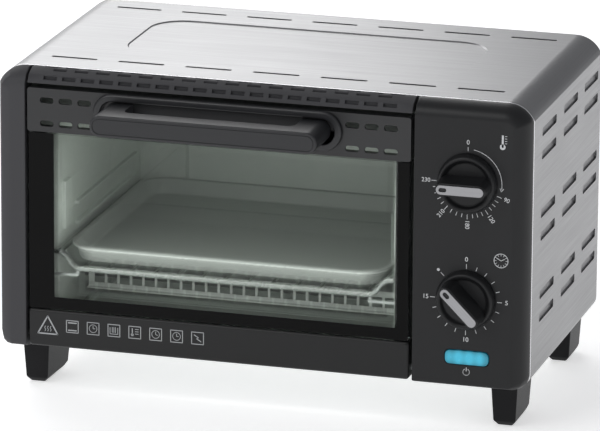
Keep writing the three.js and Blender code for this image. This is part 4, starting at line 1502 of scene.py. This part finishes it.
    @staticmethod
    def _sign(sheet: Print, index: int, middle: tuple[float, float]) -> None:
        """Draw what stands in one of the boxes.

        Args:
            sheet: Where it is drawn.
            index: The box, counted from the left.
            middle: Its centre, in mm.
        """
        x, z = middle
        if index == 0:
            for rise in (-2.6, 2.6):
                sheet.stroke((x - 2.8, z + rise), (x + 2.8, z + rise), 0.8)
        elif index in (1, 4, 5):
            sheet.curve(middle, 2.7, (0, 360), 0.45, 24)
            sheet.chain([(x, z + 1.7), middle, (x + 1.3, z - 0.5 + 0.5 * index % 2)], 0.45)
        elif index == 2:
            sheet.chain([(x - 2.7, z + 2), (x - 2.7, z - 2.4), (x + 2.7, z - 2.4),
                         (x + 2.7, z + 2)], 0.45)
            for shift in (-1.1, 0, 1.1):
                sheet.stroke((x + shift, z - 1.4), (x + shift, z + 2.2), 0.45)
        elif index == 3:
            sheet.dot((x - 1.7, z - 1.6), 1.0)
            sheet.stroke((x - 1.7, z - 1.6), (x - 1.7, z + 2.6), 0.7)
            for rise in (-1, 0.6, 2.2):
                sheet.stroke((x + 0.3, z + rise), (x + 2.5, z + rise), 0.45)
        else:
            sheet.chain([(x - 2.4, z + 2.2), (x + 0.6, z + 0.4), (x - 0.6, z - 0.4),
                         (x + 2.4, z - 2.2)], 0.6)


@dataclass
class Dial(Assembly):
    """One dial: a dished skirt, a wedge grip and a bright insert with an oval hole."""

    name: str = "thermostat"
    x: float = 141.35
    z: float = 171.3
    turn: float = 0.0
    profile: tuple[tuple[float, float], ...] = (
        (0, 1), (19.4, 1), (19.8, 1.35), (19.8, 2.2), (19.5, 3.2), (18.9, 5.0), (18.4, 5.9),
        (17.7, 6.2), (16.6, 6.0), (15.8, 5.4), (15.2, 4.5), (14.6, 3.9), (13.6, 3.7), (0, 3.7),
    )

    def build(self) -> None:
        """Make the knob and its insert, and dress its shaft."""
        self.body = self.name
        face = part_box("control_panel")[0].y
        place = Matrix.Translation((self.x * MM, face, self.z * MM)) @ Matrix.Rotation(
            math.pi / 2, 4, "X"
        ) @ Matrix.Rotation(self.turn, 4, "Z")
        skirt = Bench.turned(
            f"{self.name}_dial", [(radius * MM, out * MM) for radius, out in self.profile], 72
        )
        Bench.combine(skirt, self._grip(), "UNION")
        skirt.data.transform(place)
        Bench.soften(skirt, 0)
        self.finish(skirt, PANEL_BLACK, "satin_black_plastic", f"{self.name}_knob")
        insert = Bench.soften(
            self.traced(f"{self.name}_pointer", f"{self.name}_insert"), 0.18 * MM, 2, 40
        )
        self.finish(insert, pointer_steel(self.turn), "brushed_steel", f"{self.name}_pointer")
        self.dress(ZINC, f"{self.name}_shaft")

    def _grip(self) -> bpy.types.Object:
        """Make the grip, a rounded bar that narrows upwards.

        Returns:
            The grip, standing on the origin.
        """
        grip = Bench.plate(
            "grip", (0, 0, 0), (36 * MM, 11.4 * MM), 5.65 * MM, 17.2 * MM, 8
        )
        grip.data.transform(Matrix.Rotation(-math.pi / 2, 4, "X"))
        low = min(point.co.z for point in grip.data.vertices)
        grip.data.transform(Matrix.Translation((0, 0, 3.1 * MM - low)))
        Bench.close(grip)
        with Bench.editing(grip, Pick.FACES, lambda centre, normal: normal.z > 0.9):
            bpy.ops.transform.resize(
                value=(0.945, 0.74, 1), center_override=(0, 0, 20.3 * MM)
            )
            bpy.ops.mesh.bevel(offset=0.9 * MM, segments=4, clamp_overlap=True)
        return grip


@dataclass
class Lens(Assembly):
    """The lit signal lens under the dials."""

    def build(self) -> None:
        """Make the lens and dress its lamp."""
        low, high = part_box("indicator_lens")
        middle = ((low.x + high.x) / 2, low.y, (low.z + high.z) / 2)
        glow = GlowFinish(
            "lit_blue_lens", (0.02, 0.20, 0.27), (0.03, 0.26, 0.34), 0.25, Surface.GRAINED,
            size=700.0, bump=0.02, spread=0.06, specular=0.5, middle=middle,
            half=((high.x - low.x) / 2, (high.z - low.z) / 2), strength=0.56,
        )
        self.body = "body"
        lens = Bench.soften(self.traced("indicator_lens", "signal_lens"), 0.35 * MM, 3, 40)
        self.finish(lens, glow, "blue_lens", "indicator_lens")
        self.dress(WHITE_PLASTIC, "indicator_lamp")


@dataclass
class Cavity(Assembly):
    """The inside of the oven: walls, roof, floor, heaters, guard and crumb tray."""

    wall_sheet: float = 0.8 * MM
    edge_flat: float = 16.5 * MM
    channel: float = 15.5 * MM

    def build(self) -> None:
        """Make what shows through the window, and dress the rest."""
        # The inside sheets take the darker zinc copy, painted shade.
        self.refined("cavity_left_wall", "oven_wall_left", SHADED_CAVITY_ZINC, "zinc_sheet", 0.7, 3)
        self.refined("cavity_right_wall", "oven_wall_right", SHADED_CAVITY_ZINC, "zinc_sheet", 0.7, 3)
        self._back_wall()
        self.refined("front_frame", "pressed_frame", SHADED_CAVITY_ZINC, "zinc_sheet", 0.3)
        self.refined("crumb_tray", "loose_crumb_tray", SHADED_CAVITY_ZINC, "zinc_sheet", 0.3)
        # The heater guard takes the paler zinc copy, painted light.
        self.refined("lower_heater_guard", "heater_cover", LIT_GUARD_ZINC, "zinc_sheet", 0.25)
        self.dress(SHADED_CAVITY_ZINC, "cavity_roof", "cavity_floor", "heat_shield")
        for level in ("upper", "lower"):
            for end in ("front", "rear"):
                self.refined(
                    f"{level}_heater_{end}", f"{level}_rod_{end}", OXIDE, "heater_steel", 0.2
                )
            self.dress(CERAMIC, f"{level}_insulator_left", f"{level}_insulator_right")

    def _back_wall(self) -> None:
        """Press the back wall: a flat edge, a channel and a raised middle."""
        low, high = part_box("cavity_back_wall")
        level = high.y - self.wall_sheet
        wall = Bench.block(
            "oven_wall_back", (low.x, level, low.z), (high.x, high.y, high.z)
        )
        with Bench.editing(
            wall, Pick.FACES,
            lambda centre, normal: normal.y < -0.9 and centre.y < level + 0.1 * MM,
        ):
            bpy.ops.mesh.inset(thickness=self.edge_flat, depth=0)
            bpy.ops.mesh.inset(thickness=1.2 * MM, depth=-0.2 * MM)
            bpy.ops.mesh.inset(thickness=self.channel, depth=0)
            bpy.ops.mesh.inset(thickness=3.2 * MM, depth=level - low.y)
        self.finish(
            Bench.soften(wall, 0, smooth=20), SHADED_CAVITY_ZINC, "zinc_sheet", "cavity_back_wall"
        )


@dataclass
class RackAndTray(Assembly):
    """The wire rack and the tray that stands on it."""

    body: str = "rack"
    wire_radius: float = 2 * MM
    bar_radius: float = 1.25 * MM
    bars: int = 13
    rail: float = 98.6
    rail_reach: float = 112.9
    deck: float = 87.6
    foot: float = 102.6
    top: float = 109.8
    bend: float = 4.0
    tray_flange: float = 2.6 * MM
    tray_slope: float = 4.0 * MM
    tray_corner: float = 20 * MM
    rim_radius: float = 1.1 * MM

    def build(self) -> None:
        """Make the rack and the tray."""
        self._rack()
        self._tray()

    def _cross(self, y: float, middle: float, reach: float) -> list[Point]:
        """Give the middle line of a cross wire that steps down between the rails.

        Args:
            y: Where it runs.
            middle: The X of the rack's middle, in mm.
            reach: Its half length, in mm.

        Returns:
            Its points, with rounded bends.
        """
        half = [(self.foot, self.deck), (self.top, self.rail - 1), (reach, self.rail)]
        line = [(-x, z) for x, z in reversed(half)] + half
        points = [line[0]]
        for before, corner, after in zip(line, line[1:], line[2:]):
            here = Vector(corner)
            for step in range(5):
                toward = Vector(before) if step < 2 else Vector(after)
                share = abs(step - 2) / 2
                leg = toward - here
                pull = min(self.bend, leg.length * 0.45)
                soft = 0.5 * (1 - share) ** 2
                out = leg.normalized() * pull * share
                inward = (
                    (Vector(before) - here).normalized() + (Vector(after) - here).normalized()
                )
                points.append(tuple(here + out + inward * soft * pull * 0.5))
        points.append(line[-1])
        return [((middle + x) * MM, y, z * MM) for x, z in points]

    def _rack(self) -> None:
        """Make the rack from round wires."""
        low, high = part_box("wire_rack")
        middle = (low.x + high.x) / 2 / MM
        front = low.y + self.wire_radius
        back = high.y - self.wire_radius
        wires = [
            Bench.wire("cross", self._cross(front + 0.25 * MM, middle, self.rail_reach + 4),
                       self.wire_radius),
            Bench.wire("cross", self._cross(back, middle, self.rail_reach),
                       self.wire_radius),
        ]
        for side in (-1, 1):
            x = (middle + side * self.rail_reach) * MM
            wires.append(Bench.wire(
                "rail", [(x, front, self.rail * MM), (x, back, self.rail * MM)],
                self.wire_radius,
            ))
        reach = self.foot - 5
        for index in range(self.bars):
            x = (middle - reach + 2 * reach * index / (self.bars - 1)) * MM
            wires.append(Bench.wire(
                "bar", [(x, front - MM, self.deck * MM), (x, back + MM, self.deck * MM)],
                self.bar_radius, 2,
            ))
        rack = Bench.gather("round_wire_rack", wires)
        self.finish(Bench.soften(rack, 0), CHROME, "chromed_wire", "wire_rack")

    def _tray(self) -> None:
        """Make the tray by drawing its walls down from a flat flange."""
        low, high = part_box("baking_tray")
        bpy.ops.object.select_all(action="DESELECT")
        bpy.ops.mesh.primitive_plane_add(
            size=1, location=((low.x + high.x) / 2, (low.y + high.y) / 2, high.z)
        )
        tray = bpy.context.object
        tray.name = "enamelled_tray"
        tray.scale = (high.x - low.x, high.y - low.y, 1)
        Bench.settle(tray)
        with Bench.editing(tray, Pick.POINTS, lambda co: True):
            bpy.ops.mesh.bevel(
                offset=self.tray_corner, segments=10, affect="VERTICES", clamp_overlap=False
            )
        fall = high.z - low.z - 1.2 * MM
        with Bench.editing(tray, Pick.FACES, lambda centre, normal: True):
            bpy.ops.mesh.inset(thickness=0.5 * MM, depth=0)
            bpy.ops.mesh.inset(thickness=self.tray_flange - 0.5 * MM, depth=0)
            bpy.ops.mesh.inset(thickness=0.8 * MM, depth=-0.7 * MM)
            bpy.ops.mesh.inset(thickness=self.tray_slope - 1.4 * MM, depth=-(fall - 2.2 * MM))
            bpy.ops.mesh.inset(thickness=0.9 * MM, depth=-1.1 * MM)
            bpy.ops.mesh.inset(thickness=1.4 * MM, depth=-0.4 * MM)
        Bench.alone(tray)
        wall = tray.modifiers.new("wall", "SOLIDIFY")
        wall.thickness, wall.offset = 1.1 * MM, -1.0
        bpy.ops.object.modifier_apply(modifier=wall.name)
        self.finish(
            Bench.soften(tray, 0.35 * MM, 3, 55), TRAY_ENAMEL, "tray_enamel", "baking_tray"
        )
        self._rim(low, high)

    def _rim(self, low: Vector, high: Vector) -> None:
        """Roll a rim round the tray's flange; its pale colour is a painted highlight.

        Args:
            low: The tray's lowest corner.
            high: The tray's highest corner.
        """
        radius = self.rim_radius
        turn = self.tray_corner - radius
        points = []
        corners = ((high.x, high.y, 0), (low.x, high.y, 90), (low.x, low.y, 180),
                   (high.x, low.y, 270))
        for x, y, start in corners:
            middle_x = x - math.copysign(self.tray_corner, x - (low.x + high.x) / 2)
            middle_y = y - math.copysign(self.tray_corner, y - (low.y + high.y) / 2)
            for step in range(9):
                angle = math.radians(start + 90 * step / 8)
                points.append((middle_x + turn * math.cos(angle),
                               middle_y + turn * math.sin(angle), high.z - radius))
        rim = Bench.wire("tray_rolled_rim", [*points, points[0]], radius, 3)
        self.finish(Bench.soften(rim, 0), TRAY_RIM_HIGHLIGHT, "tray_enamel")


@dataclass
class Rear(Assembly):
    """The back sheet, its screws and the cord's gland, and the base."""

    def build(self) -> None:
        """Make the pieces at the back and under the oven."""
        self.refined("back_panel", "rear_sheet", ZINC, "zinc_sheet", 0.3)
        self.refined("base_plate", "vented_base", ZINC, "zinc_sheet", 0.2)
        self.refined("cord_gland", "cord_bush", FOOT_BLACK, "satin_black_plastic", 0.6, 3)
        for level in ("lower", "upper"):
            for side in ("left", "right"):
                self.refined(
                    f"rear_screw_{level}_{side}", f"cross_screw_{level}_{side}", BRIGHT_STEEL_AND_EDGE_HIGHLIGHT,
                    "zinc_sheet", 0.3,
                )


@dataclass
class Feet(Assembly):
    """The four tapered feet."""

    def build(self) -> None:
        """Make the feet."""
        for end in ("front", "rear"):
            for side in ("left", "right"):
                self.refined(
                    f"foot_{end}_{side}", f"tapered_foot_{end}_{side}", FOOT_BLACK,
                    "satin_black_plastic", 0.9, 3,
                )


@dataclass
class Works(Assembly):
    """What is behind the control panel, and the door's spring."""

    def build(self) -> None:
        """Dress the thermostat, the timer with its bell, the wires and the spring."""
        self.refined("thermostat_body", "heat_switch", CERAMIC, "white_ceramic", 0.5)
        self.refined("timer_body", "timer_case", WHITE_PLASTIC, "white_plastic", 0.5)
        self.refined("terminal_block", "wire_block", WHITE_PLASTIC, "white_plastic", 0.5)
        self.dress(BRASS, "timer_bell")
        self.dress(SLEEVE, "thermostat_wire", "heater_wire")
        self.dress(ZINC, "door_spring")


# ---- Studio -------------------------------------------------------------------------------
@dataclass
class Studio:
    """The pale floor, the soft lights and the camera."""

    eye: Point = (1.04605, -3.6182, 1.1953)
    aim: Point = (-0.00005, 0.014, 0.110)
    roll: float = 0.37
    lens: float = 351.5
    sky_strength: float = 0.3
    floor_glow: float = 0.55

    def build(self) -> None:
        """Set up the floor, the lights and the camera."""
        self._floor()
        self._camera()
        self._surroundings()
        self._light("key", (-1.5, -2.3, 2.3), 2.2, 41)
        self._light("top", (-1.6, 2.5, 1.95), 2.4, 50)
        self._light("fill", (2.6, -1.4, 1.3), 1.8, 2)
        self._light("mouth", (-0.023, -0.0797, 0.118), 0.11, 0.135, (-0.023, 0.1, 0.108))

    def _floor(self) -> None:
        """Lay a plain pale floor."""
        bpy.ops.object.select_all(action="DESELECT")
        bpy.ops.mesh.primitive_plane_add(size=16, location=(0, 2, -0.0002))
        floor = bpy.context.object
        floor.name = "floor"
        Bench.settle(floor)
        pale = Finish(
            "pale_floor", (0.86, 0.86, 0.87), (0.88, 0.88, 0.88), 0.7, Surface.GRAINED,
            size=60.0, bump=0.0, specular=0.2,
        )
        material = pale.material()
        shader = material.node_tree.nodes["Principled BSDF"]
        shader.inputs["Emission Color"].default_value = (1.0, 1.0, 1.0, 1.0)
        shader.inputs["Emission Strength"].default_value = self.floor_glow
        floor.data.materials.append(material)

    def _camera(self) -> None:
        """Place the camera."""
        data = bpy.data.cameras.new("camera")
        data.lens, data.sensor_width = self.lens, 36
        data.clip_end = 50
        camera = bpy.data.objects.new("camera", data)
        bpy.context.scene.collection.objects.link(camera)
        look = (Vector(self.aim) - Vector(self.eye)).to_track_quat("-Z", "Y").to_matrix().to_4x4()
        camera.matrix_world = (
            Matrix.Translation(self.eye) @ look
            @ Matrix.Rotation(math.radians(self.roll), 4, "Z")
        )
        bpy.context.scene.camera = camera

    def _surroundings(self) -> None:
        """Surround the oven with an even pale light."""
        world = bpy.data.worlds.new("studio")
        world.use_nodes = True
        sky = world.node_tree.nodes["Background"]
        sky.inputs["Color"].default_value = (0.95, 0.96, 1.0, 1)
        sky.inputs["Strength"].default_value = self.sky_strength
        bpy.context.scene.world = world
        bpy.context.scene.view_settings.view_transform = "Standard"

    def _light(
        self, name: str, place: Point, size: float, power: float, aim: Point | None = None
    ) -> None:
        """Hang a soft square light that looks at the oven.

        Args:
            name: Its name.
            place: Where it hangs.
            size: Its side.
            power: Its power in watts.
            aim: What it looks at, and then it is wide and casts no glints; the oven's
                middle if not given.
        """
        data = bpy.data.lights.new(name, "AREA")
        data.shape, data.size, data.energy = "SQUARE", size, power
        light = bpy.data.objects.new(name, data)
        light.location = place
        toward = Vector(aim or self.aim) - Vector(place)
        light.rotation_euler = toward.to_track_quat("-Z", "Y").to_euler()
        light.visible_camera = False
        if aim:
            data.shape, data.size, data.size_y = "RECTANGLE", 2.05 * size, 0.9 * size
            light.visible_glossy = False
        bpy.context.scene.collection.objects.link(light)


def main() -> None:
    """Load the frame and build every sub-assembly."""
    logging.basicConfig(level=logging.INFO, format="%(message)s")
    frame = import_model()
    nodes = frame["nodes"]
    for assembly in (
        SteelCover(nodes), Mouldings(nodes), Markings(nodes), Door(nodes),
        Dial(nodes, name="thermostat"),
        Dial(nodes, name="timer", z=92.6, turn=math.radians(-45)),
        Lens(nodes), Cavity(nodes), RackAndTray(nodes), Rear(nodes), Feet(nodes), Works(nodes),
    ):
        LOG.info("-- %s", type(assembly).__name__)
        assembly.build()
    Studio().build()


if __name__ == "__main__":
    main()
